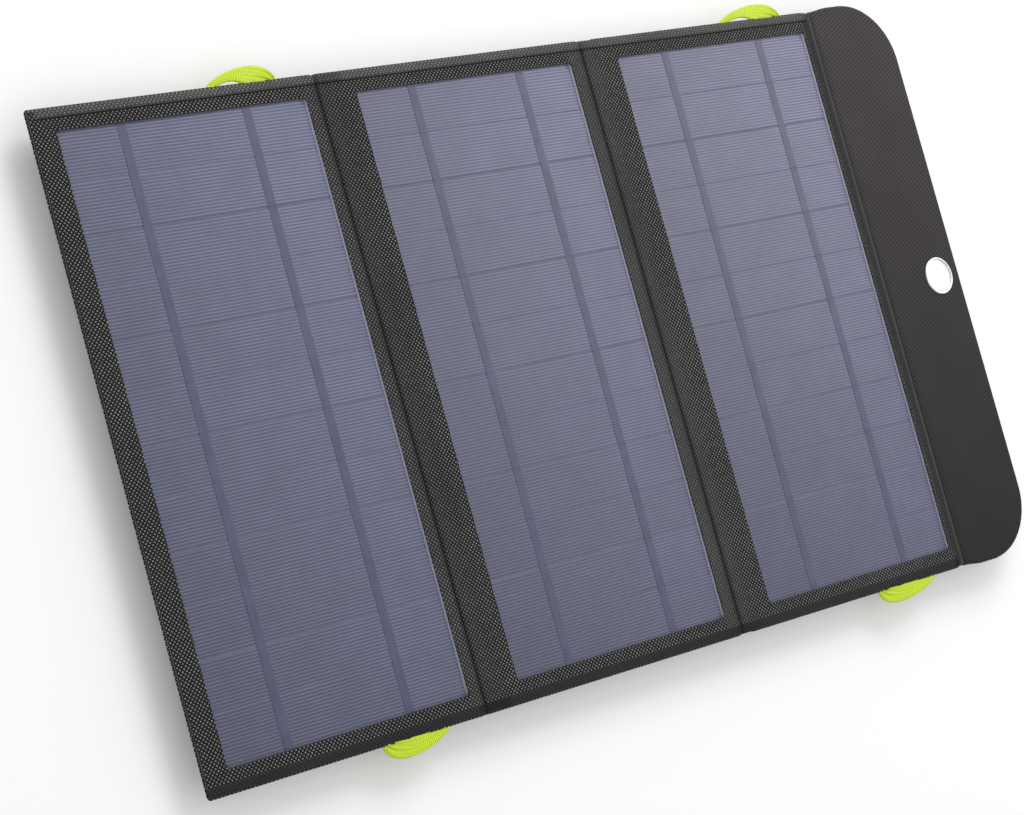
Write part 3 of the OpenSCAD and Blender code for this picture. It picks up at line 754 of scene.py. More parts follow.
def front_tone_and_painted_light(x, y):
    """Tone and calm of the fabric. The tone is over 0 where it is paler, and under 0 where it is
    darker. Most of it is painted light: a painted highlight on the upper hem, which faces the light,
    and painted shade in the hem groove, its mitre, the lower hem, which faces away from the light, the
    creases and the slack beside them. The strip right of the last window is darker too.
    The calm is near 1 where the hems are pressed so flat that the yarns hardly show."""
    s = settings().sizes
    from_top, from_bottom, from_left = BODY_HALF - y, BODY_HALF + y, x - BODY_LEFT
    slack = np.maximum(beside(x, CREASE_1, 14 * MM), 0.5 * beside(x, CREASE_2, 12 * MM))
    band = smooth_step(s.top_hem - from_top, -0.1 * MM, 0.3 * MM)
    band = band * smooth_step(from_left, from_top, from_top + 0.6 * MM)
    strap = smooth_step(x, WINDOWS["right"][1] + 0.2 * MM, WINDOWS["right"][1] + 0.6 * MM)
    groove = hem_groove(from_top, from_left, 0.45 * MM)
    mitre = ridge(from_left, from_top, 0.35 * MM) * (from_top < s.top_hem)
    roll = smooth_step(s.bottom_hem - from_bottom, 0, 0.6 * MM)
    # Painted highlight on the upper hem band; painted shade in the groove, the mitre, the rolled lower
    # hem and the slack strips.
    tone = 0.75 * band - 0.9 * groove - 0.6 * mitre - 0.7 * roll - slack * (0.2 + 0.5 * band)
    tone = tone - 0.55 * strap
    # Painted shade along the first two creases.
    for crease, width in ((CREASE_1, 1.3), (CREASE_2, 1.5)):
        tone = tone - 0.75 * ridge(x, crease, width * MM)
    calm = [0.55 * band, 0.7 * roll, 0.85 * strap]
    for window, crease, most in (("left", CREASE_1, 0.25), ("centre", CREASE_2, 0.5)):
        edge = WINDOWS[window][1]
        strip = smooth_step(x, edge - 1 * MM, edge) * (1 - smooth_step(x, crease, crease + 15 * MM))
        calm.append(most * strip)
    return np.maximum(tone, -0.9), np.max(calm, axis=0)


def front_sheet(start, end, window=None):
    """Grid of the front fabric from start to end across the body. The grid's lines follow the
    creases and hems. The window's quads are left out, and its two right corners are filled up to
    their arcs by grids between the arc and the square corner."""
    s = settings().sizes
    roll = np.array([0, 0.05, 0.15, 0.3, 0.5, 0.75, 1.0, 1.4]) * MM
    hem = np.array([3.3, 3.6, 3.8, 4.0, 4.15, 4.3, 4.5, 4.8]) * MM
    x_stops = [start, end]
    for crease in (CREASE_1, CREASE_2, CREASE_3):
        x_stops += list(crease + np.linspace(-2, 2, 17) * MM)
    x_stops += list(BODY_LEFT + roll) + [CREASE_1 + 13.3 * MM, CREASE_1 + 15.1 * MM]
    y_stops = list(BODY_HALF - roll) + list(BODY_HALF - hem) + list(-BODY_HALF + roll)
    y_stops += [-BODY_HALF + s.bottom_hem * k for k in (0.3, 0.45, 0.6, 0.75, 0.9, 1.0, 1.15)]
    patches = []
    if window:
        square = s.window_round * np.tan(np.radians([0, 15, 30, 45]))
        corner = np.array([window[1], WINDOW_HALF]) - s.window_round
        x_stops += [*window, *(corner[0] + square)]
        y_stops += [-WINDOW_HALF, WINDOW_HALF, *(corner[1] + square), *(-corner[1] - square)]
        angle = np.radians(np.arange(0, 91, 15))
        arc = s.window_round * np.stack([np.cos(angle), np.sin(angle)], axis=-1)
        rise = np.stack([np.full(4, s.window_round), square], axis=-1)
        rim = np.concatenate([rise, rise[2::-1, ::-1]])
        for side in (1, -1):
            flat = (corner + np.stack([arc, rim])) * [1, side]
            z = front_height(flat[..., 0], flat[..., 1])
            points = np.concatenate([flat, z[..., None]], axis=-1)
            quads = grid_quads(2, len(angle))
            patches.append((points.reshape(-1, 3), quads[:, :: -side]))
    xs = spaced([v for v in x_stops if start <= v <= end], 4 * MM)
    ys = spaced(y_stops, 4 * MM)
    x, y = np.meshgrid(xs, ys, indexing="ij")
    points = np.stack([x, y, front_height(x, y)], axis=-1).reshape(-1, 3)
    quads = grid_quads(len(xs), len(ys))
    if window:
        across, along = points[quads].mean(axis=1)[:, :2].T
        inside = (across > window[0]) & (across < window[1]) & (np.abs(along) < WINDOW_HALF)
        quads = quads[~inside]
    return joined([(points, quads), *patches])


def stitched_ring(middle, half_x, half_y, radius, level, bend=None):
    """Stitches round a rectangle with round corners at a level, which bend may shift."""
    s = settings().sizes
    ring = rounded_outline(half_x, half_y, radius) + [middle, 0]
    flat, heading = along_path(ring, s.stitch_pitch, closed=True)
    places = np.column_stack([flat, np.full(len(flat), level)])
    heading = np.column_stack([heading, np.zeros(len(heading))])
    return stitch_row(bend(places) if bend else places, heading, s.stitch, s.stitch_width)


class BuildFrontCovers(bpy.types.Operator):
    """Builds the woven front fabric in four stretches, each across at most one crease."""

    bl_idname = "solar_charger.front_covers"
    bl_label = "Front covers"

    def execute(self, context):
        fabric = cloth("polyester_oxford")
        cut_1 = CREASE_1 + 8 * MM
        cut_2 = (CREASE_2 + CREASE_3) / 2
        cut_3 = CREASE_3 + 8 * MM
        stretches = (
            ("cover_left", BODY_LEFT, cut_1, "left", CREASE_1, ("left_panel", "centre_panel")),
            ("cover_centre", cut_1, cut_2, "centre", CREASE_2, ("centre_panel", "right_spine")),
            ("cover_spine", cut_2, cut_3, None, CREASE_3, ("right_spine", "right_panel")),
            ("cover_right", cut_3, SEAM_X, "right", None, ("right_panel",)),
        )
        for name, start, end, panel, crease, bodies in stretches:
            points, quads = front_sheet(start, end, WINDOWS.get(panel))
            tone, calm = front_tone_and_painted_light(points[:, 0], points[:, 1])
            # The tone attribute carries painted light and shade onto the cover.
            marks = {"tone": tone, "calm": calm}
            piece = add_piece(name, points, quads, fabric, "cover_nylon", marks)
            solidify(piece, COVER_T - 0.05 * MM)
            if crease is None:
                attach(piece, bodies[0])
            else:
                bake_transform(piece)
            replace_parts(piece, f"front_cover_{panel or 'spine'}")
        thread = cloth("sewing_thread")
        out = 0.1 * MM
        # The threads stand 0.13 mm proud, so that two rows pass when the panels close.
        level = FACE_Z - 0.15 * MM
        for panel, (left, right) in WINDOWS.items():
            half_x = (right - left) / 2 + out
            ring = stitched_ring((left + right) / 2, half_x, WINDOW_HALF + out, 2.2 * MM, level)
            row = add_piece(f"stitches_{panel}", *ring, thread, "cover_nylon", closed=True)
            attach(row, f"{panel}_panel")
        return {"FINISHED"}


# ---------------------------------------------------------------- back covers


def nested_rings(middle, half_x, half_y, radius, profile):
    """Rings from a rounded rectangle inwards: each (inset, height) of the profile gives a ring.
    The last ring closes on the line down the middle."""
    rings = []
    for inset, z in profile:
        flat = rounded_outline(half_x - inset, half_y - inset, max(radius - inset, 0.0))
        rings.append(np.column_stack([flat + [middle, 0], np.full(len(flat), z)]))
    points = np.stack(rings)
    return points.reshape(-1, 3), grid_quads(*points.shape[:2], wrap_columns=True)


def rolled_corner(bend, floor, step):
    """Profile points round a corner with the bend's radius, down to the floor, by steps in degrees."""
    turn = np.radians(np.arange(0, 91, step))
    return [(bend * (1 - math.cos(a)), floor + bend * (1 - math.sin(a))) for a in turn]


def drafted(points):
    """Shifts points near the free left edge inwards, the more the lower they lie, so that the
    back slopes up to a thin lip. The shift fades out over the first 14 mm."""
    draft = low("stiffener_left", 0) - BODY_LEFT - 0.8 * MM
    lip = FACE_Z - 1.2 * MM
    depth = np.clip((lip - points[:, 2]) / (lip - BACK_Z), 0, 1)
    near = 1 - np.clip((points[:, 0] - BODY_LEFT) / (14 * MM), 0, 1)
    moved = points.copy()
    moved[:, 0] += draft * depth * near
    return moved


class BuildBackCovers(bpy.types.Operator):
    """Builds the woven trays behind the panels, with their edge stitching, and the spine's lining."""

    bl_idname = "solar_charger.back_covers"
    bl_label = "Back covers"

    def execute(self, context):
        fabric, thread = cloth("polyester_oxford"), cloth("sewing_thread")
        bend = 1.4 * MM
        seam = 3.9 * MM
        rim = FACE_Z - COVER_T - 0.35 * MM
        for panel in PANELS:
            node = f"back_cover_{panel}"
            middle, half_x = middle_of(node, 0), half_of(node, 0) - 0.05 * MM
            half_y = BODY_HALF - 0.05 * MM
            profile = [(0, rim), (0, (rim + BACK_Z + bend) / 2), *rolled_corner(bend, BACK_Z, 15)]
            profile += [(v * MM, BACK_Z + d * MM) for v, d in ((3.4, 0), (3.9, 0.25), (4.4, 0))]
            profile += [(v, BACK_Z) for v in np.linspace(8 * MM, half_x, 9)]
            points, quads = nested_rings(middle, half_x, half_y, 1.3 * MM, profile)
            tray = add_piece(f"tray_{panel}", drafted(points), quads[:, ::-1], fabric, "cover_nylon")
            solidify(tray, 0.5 * MM)
            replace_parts(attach(tray, f"{panel}_panel"), node)
            ring = stitched_ring(
                middle, half_x - seam, half_y - seam, 1 * MM, BACK_Z + 0.1 * MM, bend=drafted
            )
            row = add_piece(f"back_stitches_{panel}", *ring, thread, "cover_nylon", closed=True)
            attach(row, f"{panel}_panel")
        xs = np.linspace(CREASE_2 + 0.2 * MM, CREASE_3 - 0.2 * MM, 13)
        ys = spaced([-BODY_HALF + 0.4 * MM, BODY_HALF - 0.4 * MM], 6 * MM)
        x, y = np.meshgrid(xs, ys, indexing="ij")
        share = (x - CREASE_2) / (CREASE_3 - CREASE_2)
        under = low("spine_lining", 2) + 0.25 * MM * np.cos(2 * math.pi * share)
        top = np.stack([x, y, under + 0.35 * MM], axis=-1)
        points, quads = slab(top, np.stack([x, y, under], axis=-1))
        lining = add_piece("spine_back", points, quads, fabric, "cover_nylon", closed=True)
        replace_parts(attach(lining, "right_spine"), "spine_lining")
        return {"FINISHED"}


# ---------------------------------------------------------------- cells


def finish_nodes(material, *nodes):
    """Gives frame nodes a material."""
    for name in nodes:
        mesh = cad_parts[name].data
        mesh.materials.clear()
        mesh.materials.append(material)


def finish_fittings(*rows):
    """Gives frame nodes plain finishes. Each row holds a finish's name, its colour, roughness,
    grain and depth in millimetres, its other sockets, and the nodes that take it."""
    for name, colour, roughness, grain, depth, sockets, nodes in rows:
        finish = plain_finish(name, linear(colour), roughness, grain * MM, depth * MM, **sockets)
        finish_nodes(finish, *nodes)


class FinishCells(bpy.types.Operator):
    """Gives the cells, tab ribbons, film, sheets, boards and leads their materials."""

    bl_idname = "solar_charger.cells"
    bl_label = "Cells"

    def execute(self, context):
        cell, finger, band = chosen("cell", "finger", "ribbon")
        ribbon = plain_finish("tinned_copper_ribbon", band, 0.45, 0.4 * MM, 0.02 * MM)
        finish_nodes(ribbon, *(f"tab_ribbons_{panel}" for panel in PANELS))
        for panel, (left, right) in WINDOWS.items():
            silicon = silicon_cells(f"silicon_cells_{panel}", (left + right) / 2, cell, finger, band)
            finish_nodes(silicon, f"cell_strips_{panel}")
            film = frosted_film(f"frosted_pet_{panel}", right, linear("#a6a7bb"))
            finish_nodes(film, f"front_film_{panel}")
        sheets = [f"backsheet_{panel}" for panel in PANELS]
        boards = ["flap_tip_stiffener", *(f"stiffener_{panel}" for panel in PANELS)]
        leads = ("lead_left", "leads_centre", "lead_spine", "lead_right")
        finish_fittings(
            ("glass_fibre_sheet", "#6a6c86", 0.6, 0.8, 0.04, {}, sheets),
            ("grey_board", "#b9b4a4", 0.85, 0.6, 0.08, {}, boards),
            ("black_pvc_lead", "#1c1c1f", 0.4, 0.5, 0.02, {}, leads),
        )
        return {"FINISHED"}


# ---------------------------------------------------------------- webbing loops


def loop_tape(node):
    """A folded tape bent into a crescent that lies beside the hem. Along it, the outer edge runs
    on a skewed half ellipse and the inner edge on a low bump that ducks into the hem. Across it,
    the tape is a straight line between the two, swollen in the middle, and pleats rise along its
    length towards the gathered foot. The lower loops are the upper ones turned half round."""
    length = high(node, 0) - low(node, 0)
    side = 1 if high(node, 1) > 0 else -1
    rise = 7.9 * MM
    u = np.linspace(0, 1, 97)[:, None]
    v = np.linspace(0, 1, 41)[None, :]
    sweep = (0.5 - 0.5 * np.cos(math.pi * u)) ** 0.62
    outer = np.stack([length * sweep, rise * np.sin(math.pi * u) ** 0.85], axis=-1)
    lift = 2.1 * MM if side > 0 else -0.6 * MM
    gap = lift * np.sin(math.pi * np.clip(u / 0.56, 0, 1)) - 1.5 * MM * smooth_step(u, 0.35, 0.7)
    foot = 4.4 * MM
    inner = np.stack([foot + (length - 2.0 * foot) * u**0.92, gap], axis=-1)
    flat = inner * (1 - v[..., None]) + outer * v[..., None]
    sink = -1.6 * MM * (1 - smooth_step(np.minimum(u, 1 - u), 0, 0.07))
    flat[..., 1] += sink
    gather = smooth_step(u, 0.5, 1.0)
    pleat = 0.42 * MM * gather * np.sin(2 * math.pi * (3.4 * v + 0.35 * u)) * smooth_step(v, 0, 0.12)
    flat_end = 1 - smooth_step(u, 0.05, 0.5)
    pleat = pleat + 0.14 * MM * flat_end * np.sin(2 * math.pi * 3 * v)
    edge = np.maximum(1 - np.abs(2 * v - 1) ** 5, 0) ** 0.5
    swell = 0.75 * MM * edge
    tilt = 0.55 * MM * np.sin(math.pi * u) * (0.5 - v)
    middle = middle_of(node, 2) + 0.5 * MM + tilt + 0 * v
    start = low(node, 0) if side > 0 else high(node, 0)
    x = start + side * flat[..., 0]
    y = side * (BODY_HALF - 0.2 * MM + flat[..., 1])
    top = np.stack([x, y, middle + swell + pleat * edge], axis=-1)
    bottom = np.stack([x, y, middle - swell + 0.4 * pleat * edge], axis=-1)
    points, quads = slab(top, bottom)
    marks = {"along": u * length * 1.15, "across": v * 7.5 * MM}
    for name, part in marks.items():
        part = np.broadcast_to(part, flat.shape[:2])
        marks[name] = np.concatenate([part, part[:, ::-1]], axis=1).ravel()
    return points, quads, marks


class BuildLoops(bpy.types.Operator):
    """Builds the four webbing loops that stand out of the hems."""

    bl_idname = "solar_charger.loops"
    bl_label = "Webbing loops"

    def execute(self, context):
        rib = settings().sizes.rib
        webbing = nylon_webbing("nylon_webbing", *chosen("neon", "neon_shade"), rib)
        for end, side in (("top", "left"), ("bottom", "left"), ("top", "right"), ("bottom", "right")):
            points, quads, marks = loop_tape(f"loop_{end}_{side}")
            name = f"webbing_{end}_{side}"
            piece = add_piece(name, points, quads, webbing, "webbing", marks, closed=True)
            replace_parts(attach(piece, f"{side}_panel"), f"loop_{end}_{side}")
        return {"FINISHED"}


# ---------------------------------------------------------------- flap and piping


def flap_half(x):
    """Half of the flap's height at x: it swells a little past the panels, and its outer corners
    are quarter circles."""
    swell = FLAP_HALF - BODY_HALF
    body = BODY_HALF + swell * smooth_step(x, FLAP_X, FLAP_X + 14 * MM)
    in_corner = np.clip((x - (FLAP_END - FLAP_CORNER)) / FLAP_CORNER, 0, 1)
    return body - FLAP_CORNER * (1 - np.sqrt(np.maximum(1 - in_corner**2, 0)))


def flap_grids(xs):
    """Top and bottom of a padded flap: near its outline, the thickness follows a half ellipse,
    and further in it is full with a slight crown."""
    x = xs[:, None]
    share = np.sin(np.linspace(-math.pi / 2, math.pi / 2, 97))[None, :]
    half = flap_half(x) + 0.2 * MM
    y = half * share
    x = x + 0 * y
    core_x, core_y = FLAP_END - FLAP_CORNER, FLAP_HALF - FLAP_CORNER
    past = np.hypot(np.maximum(x - core_x, 0), np.maximum(np.abs(y) - core_y, 0))
    inside = np.where(x > core_x, np.maximum(FLAP_CORNER - past, 0), half - np.abs(y))
    reach = 1.6 * MM
    t = np.clip(inside / reach, 0, 1)
    thick = FLAP_T / 2 * np.sqrt(np.maximum(1 - (1 - t) ** 2, 0))
    middle = FACE_Z - FLAP_T / 2
    crown = 0.12 * MM * smooth_step(inside, 0, 14 * MM)
    seam = 0.45 * MM * ridge(x, FLAP_X, 0.8 * MM)
    top = np.stack([x, y, middle + thick + crown - seam], axis=-1)
    bottom = np.stack([x, y, middle - thick], axis=-1)
    return top, bottom


class BuildFlap(bpy.types.Operator):
    """Builds the closure flap in two stretches, the corded piping and the stitching beside it."""

    bl_idname = "solar_charger.flap"
    bl_label = "Closure flap"

    def execute(self, context):
        s = settings().sizes
        twill, thread = cloth("polyester_twill"), cloth("sewing_thread")
        middle = (CREASE_4 + CREASE_5) / 2
        tip_x = FLAP_END - FLAP_CORNER + FLAP_CORNER * np.sin(np.linspace(0, math.pi / 2, 40))
        crease_x = [c + np.linspace(-3, 3, 17) * MM for c in (CREASE_4, CREASE_5)]
        stops = np.concatenate([[FLAP_X, middle], *crease_x, tip_x])
        stretches = (
            ("flap_inner", FLAP_X, middle, CREASE_4, ("right_panel", "flap_spine"), ("root", "spine")),
            ("flap_outer", middle, FLAP_END, CREASE_5, ("flap_spine", "flap_tip"), ("tip",)),
        )
        for name, start, end, crease, bodies, nodes in stretches:
            xs = spaced([v for v in (start, end, *stops) if start <= v <= end], 2 * MM)
            top, bottom = flap_grids(xs)
            points, quads = slab(top, bottom)
            piece = add_piece(name, points, quads, twill, "flap_twill", closed=True)
            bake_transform(piece)
            for node in nodes:
                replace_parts(piece, f"flap_{node}_face", f"flap_{node}_back")
        radius = (FLAP_X - SEAM_X) / 2
        ys = spaced([-BODY_HALF, -BODY_HALF + 1 * MM, BODY_HALF - 1 * MM, BODY_HALF], 2 * MM)
        height = high("seam_piping", 2) - radius
        path = np.column_stack([np.full(len(ys), SEAM_X + radius), ys, np.full(len(ys), height)])
        ends = np.sqrt(np.clip((BODY_HALF - np.abs(ys)) / (1 * MM), 0, 1))
        points, quads = tube(path, radius * np.maximum(ends, 1e-6), 24, np.array([1.0, 0.0, 0.0]))
        binding = plain_finish("piping_binding", linear("#262524"), 0.6, 0.7 * MM, 0.06 * MM)
        cord = add_piece("piping", points, quads, binding, "flap_twill", closed=True)
        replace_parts(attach(cord, "right_panel"), "seam_piping")
        rows = []
        for x, z in ((SEAM_X - 0.9 * MM, FACE_Z), (FLAP_X + 1.0 * MM, FACE_Z - 0.1 * MM)):
            line = np.array([[x, -BODY_HALF + 2 * MM, z], [x, BODY_HALF - 2 * MM, z]])
            places, heading = along_path(line, s.stitch_pitch)
            rows.append(stitch_row(places, heading, s.stitch, s.stitch_width))
        points, quads = joined(rows)
        row = add_piece("piping_stitches", points, quads, thread, "flap_twill", closed=True)
        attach(row, "right_panel")
        return {"FINISHED"}


# ---------------------------------------------------------------- clasp


def rim_arc(middle, height, radius):
    """Points of a profile over the top of a round bead, from its outside to its inside."""
    angle = np.linspace(0, math.pi, 12)
    return list(zip(middle + radius * np.cos(angle), height + radius * np.sin(angle)))


class BuildClasp(bpy.types.Operator):
    """Builds the clasp: a cup with a rolled rim round a dished face, its cap, and the plate."""

    bl_idname = "solar_charger.clasp"
    bl_label = "Clasp"

    def execute(self, context):
        nickel = plain_finish(
            "polished_nickel", *chosen("nickel"), 0.34, 1.5 * MM, 0.0005 * MM, Metallic=1.0
        )
        middle = [middle_of("clasp_cup", axis) for axis in (0, 1)]
        radius = half_of("clasp_cup", 0)
        bead = 0.62 * MM
        crest = high("clasp_cup", 2) - FACE_Z - bead
        post = 1.6 * MM
        cup = [(0, -FLAP_T), (post, -FLAP_T), (post, 0.0), (radius - 0.3 * MM, 0.0)]
        cup += [(radius, 0.2 * MM), *rim_arc(radius - bead, crest, bead), (radius - 1.35 * MM, 0.3 * MM)]
        # The dish stays 0.05 mm under the plate's boss when the clasp is shut.
        disc, dish_edge, dish_top = radius - 2.1 * MM, 0.42 * MM, 0.55 * MM
        share = np.linspace(0.98, 0, 14)
        cup += [(disc + 0.25 * MM, 0.28 * MM), (disc, dish_edge)]
        cup += list(zip(disc * share, dish_top - (dish_top - dish_edge) * share**2))
        points, quads = lathe(cup)
        ring = add_piece("clasp_ring", points + [*middle, FACE_Z], quads, nickel, "nickel", closed=True)
        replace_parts(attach(ring, "flap_tip"), "clasp_cup")
        cap_r, cap_top, cap_low = half_of("clasp_cap", 0), high("clasp_cap", 2), low("clasp_cap", 2)
        turn = np.linspace(0, math.pi / 2, 14)
        rise = cap_low + (cap_top - cap_low) * (1 - np.cos(turn)) ** 1.2
        dome = list(zip(cap_r * np.sin(turn), rise))
        points, quads = lathe([*dome, (cap_r * 0.97, cap_top), (0, cap_top)])
        cap = add_piece("clasp_button", points + [*middle, 0], quads, nickel, "nickel", closed=True)
        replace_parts(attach(cap, "flap_tip"), "clasp_cap")
        finish_nodes(nickel, "clasp_plate", "clasp_washer")
        return {"FINISHED"}


# ---------------------------------------------------------------- pocket and zip


def swell(piece, held, pressure, most):
    """Cloth simulation: the piece is remeshed to even quads, then blown up with its held points
    pinned. No point moves further than most."""
    remesh = piece.modifiers.new("even", "REMESH")
    remesh.mode = "VOXEL"
    remesh.voxel_size = 4.2 * MM
    graph = bpy.context.evaluated_depsgraph_get()
    even = bpy.data.meshes.new_from_object(piece.evaluated_get(graph))
    piece.modifiers.clear()
    piece.data = even
    count = len(even.vertices)
    rest = np.zeros(count * 3)
    even.vertices.foreach_get("co", rest)
    rest = rest.reshape(-1, 3)
    group = piece.vertex_groups.new(name="held")
    group.add(np.flatnonzero(held(rest)).tolist(), 1.0, "REPLACE")
    sewn = piece.modifiers.new("cloth", "CLOTH")
    fabric = {
        "quality": 6,
        "mass": 0.2,
        "tension_stiffness": 20,
        "compression_stiffness": 20,
        "bending_stiffness": 0.8,
        "use_pressure": True,
        "uniform_pressure_force": pressure,
        "vertex_group_mass": group.name,
    }
    for name, value in fabric.items():
        setattr(sewn.settings, name, value)
    sewn.settings.effector_weights.gravity = 0
    sewn.collision_settings.use_collision = False
    sewn.collision_settings.use_self_collision = False
    scene = bpy.context.scene
    for step in range(1, 21):
        scene.frame_set(step)
    graph = bpy.context.evaluated_depsgraph_get()
    blown = piece.evaluated_get(graph).data
    moved = np.zeros(count * 3)
    blown.vertices.foreach_get("co", moved)
    shift = moved.reshape(-1, 3) - rest
    size = np.linalg.norm(shift, axis=1, keepdims=True)
    shift *= np.minimum(1, most / np.maximum(size, 1e-9))
    piece.modifiers.clear()
    scene.frame_set(1)
    rest = rest + shift
    return rest


class BuildPocket(bpy.types.Operator):
    """Builds the pocket behind the middle panel as a soft bag, with a bound edge."""

    bl_idname = "solar_charger.pocket"
    bl_label = "Pocket"

    def execute(self, context):
        fabric = cloth("polyester_oxford")
        right, half_y = high("pocket_panel", 0), high("pocket_panel", 1)
        middle, half_x = middle_of("pocket_panel", 0), half_of("pocket_panel", 0) - 0.6 * MM
        floor_z = 1.2 * MM
        inner = 0.35 * MM
        inmost = half_x - 0.01 * MM
        profile = [(v, BACK_Z + inner) for v in (inmost, half_x / 2, 0.6 * MM)]
        profile += [(0, BACK_Z), (0, BACK_Z - 2.5 * MM), *rolled_corner(3.5 * MM, floor_z, 18)]
        profile += [(v, floor_z) for v in np.linspace(8 * MM, inmost, 8)]
        points, quads = nested_rings(middle, half_x, half_y - 0.8 * MM, 6 * MM, profile)
        bag = add_piece("pocket_bag", points, quads, fabric, "cover_nylon", closed=True)
        rest = swell(
            bag,
            lambda p: (p[:, 2] > BACK_Z - 1.2 * MM) | (p[:, 0] > right - 3 * MM),
            pressure=3.0,
            most=2.2 * MM,
        )
        sag = 0.35 * MM * np.sin(rest[:, 1] / (9 * MM)) * np.sin(rest[:, 0] / (14 * MM) + 1)
        rest[:, 2] = np.maximum(rest[:, 2] + sag * (rest[:, 2] < BACK_Z - 3 * MM), 0.12 * MM)
        rest[:, 2] = np.minimum(rest[:, 2], BACK_Z + inner)
        rest[:, 0] = np.minimum(rest[:, 0], right - half_of("pocket_panel", 2))
        bag.data.vertices.foreach_set("co", rest.ravel())
        bag.data.update()
        bag.data.polygons.foreach_set("use_smooth", np.ones(len(bag.data.polygons), bool))
        cloth_map(bag.data)
        if not bag.data.materials:
            bag.data.materials.append(fabric)
        rounder = bag.modifiers.new("rounder", "SUBSURF")
        rounder.levels = rounder.render_levels = 1
        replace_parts(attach(bag, "centre_panel"), "pocket_panel", "pocket_gusset")
        ring = rounded_outline(half_x + 0.9 * MM, half_y, 6 * MM) + [middle, 0]
        path = np.column_stack([ring, np.full(len(ring), BACK_Z - 0.55 * MM)])
        points, quads = tube(path, 0.6 * MM, 10, np.array([0.0, 0.0, 1.0]), closed=True)
        twill = cloth("polyester_twill")
        edge = add_piece("pocket_binding", points, quads, twill, "cover_nylon", closed=True)
        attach(edge, "centre_panel")
        return {"FINISHED"}


def coil_row(level, side, half_length):
    """One row of a coil zip: a flattened helix along Y, as wide as its row and leaning to the
    other row."""
    pitch = settings().sizes.coil_pitch
    turns = 2 * half_length / pitch
    t = np.linspace(0, turns, int(turns * 12))
    wire_r = 0.3 * MM
    deep, tall = half_of("zip_coils", 0) - wire_r, 1.0 * MM
    phase = 2 * math.pi * t + (math.pi if side > 0 else 0)
    x = middle_of("zip_coils", 0) + deep * np.cos(phase)
    z = level + tall * np.sin(phase)
    path = np.column_stack([x, -half_length + t * pitch, z])
    return tube(path, wire_r, 6, np.array([0.0, 1.0, 0.0]))


class BuildZip(bpy.types.Operator):
    """Builds the zip's woven tapes and its two coil rows, and finishes the slider and stops."""

    bl_idname = "solar_charger.zip"
    bl_label = "Zip"

    def execute(self, context):
        black = cloth("zip_tape_polyester")
        nylon = plain_finish("zip_coil_nylon", linear("#101012"), 0.35, 0.3 * MM, 0.01 * MM)
        x_low, x_high = low("zip_tapes", 0), high("zip_tapes", 0)
        middle = middle_of("zip_coils", 2)
        half = high("zip_tapes", 1)
        ys = spaced([-half, half], 3 * MM)
        tapes = []
        gap = 0.4 * MM
        for z_low, z_high in ((low("zip_tapes", 2), middle - gap), (middle + gap, BACK_Z)):
            y, z = np.meshgrid(ys, np.linspace(z_low, z_high, 9), indexing="ij")
            ripple = 0.06 * MM * np.sin(y / (2.2 * MM))
            outer = np.stack([x_high - 0.1 * MM + ripple, y, z], axis=-1)
            tapes.append(slab(outer, np.stack([x_low + 0.05 * MM + 0 * y, y, z], axis=-1)))
        points, quads = joined(tapes)
        tape = add_piece("zip_tape_pair", points, quads, black, "zip_tape", closed=True)
        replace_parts(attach(tape, "centre_panel"), "zip_tapes")
        coil_half = high("zip_coils", 1)
        apart = half_of("zip_coils", 2) / 2 + 0.15 * MM
        rows = [coil_row(middle + side * apart, side, coil_half) for side in (1, -1)]
        points, quads = joined(rows)
        coils = add_piece("zip_coil_pair", points, quads, nylon, "zip_coil", closed=True)
        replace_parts(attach(coils, "centre_panel"), "zip_coils")
        metal = ("zip_slider", "zip_puller", "zip_stops")
        finish_fittings(("lacquered_zinc", "#3a3d42", 0.32, 0.8, 0.01, {"Metallic": 0.8}, metal))
        return {"FINISHED"}


class FinishRegulator(bpy.types.Operator):
    """Gives the regulator's case, board, sockets, light pipe, bush and screws their materials."""

    bl_idname = "solar_charger.regulator"
    bl_label = "Regulator"

    def execute(self, context):
        case = ("regulator_base", "regulator_lid")
        finish_fittings(
            ("abs_case", "#1e2022", 0.5, 0.5, 0.05, {}, case),
            ("solder_mask", "#1f5a38", 0.35, 0.6, 0.02, {}, ("regulator_board",)),
            ("ferrite_and_chips", "#3c3f44", 0.55, 0.4, 0.03, {}, ("regulator_parts",)),
            ("tinned_steel", "#c8cacc", 0.28, 0.7, 0.01, {"Metallic": 1.0}, ("usb_sockets",)),
            ("clear_acrylic", "#e2f0e4", 0.15, 1.0, 0.005, {"IOR": 1.49}, ("light_pipe",)),
            ("black_rubber", "#17181a", 0.75, 0.5, 0.05, {}, ("lead_bush",)),
            ("blackened_steel", "#4a4c50", 0.35, 0.5, 0.01, {"Metallic": 0.9}, ("lid_screws",)),
        )
        return {"FINISHED"}


# ---------------------------------------------------------------- stage


def area_light(name, place, aim, size, power):
    """A square softbox at a place, turned to face a point."""
    data = bpy.data.lights.new(name, "AREA")
    data.shape = "SQUARE"
    data.size = size
    data.energy = power
    light = bpy.data.objects.new(name, data)
    bpy.context.scene.collection.objects.link(light)
    light.location = place
    light.rotation_euler = turned_to(place, aim)
    return light


def turned_to(place, aim, roll=0.0):
    """Euler angles that point -Z from a place to an aim, rolled about the line of sight."""
    ahead = np.array(aim, float) - np.array(place, float)
    ahead /= np.linalg.norm(ahead)
    level = np.cross(ahead, [0.0, 0.0, 1.0])
    level /= np.linalg.norm(level)
    upright = np.cross(level, ahead)
    right = math.cos(roll) * level + math.sin(roll) * upright
    up = np.cross(right, ahead)
    return Matrix(np.stack([right, up, -ahead], axis=1).tolist()).to_euler()


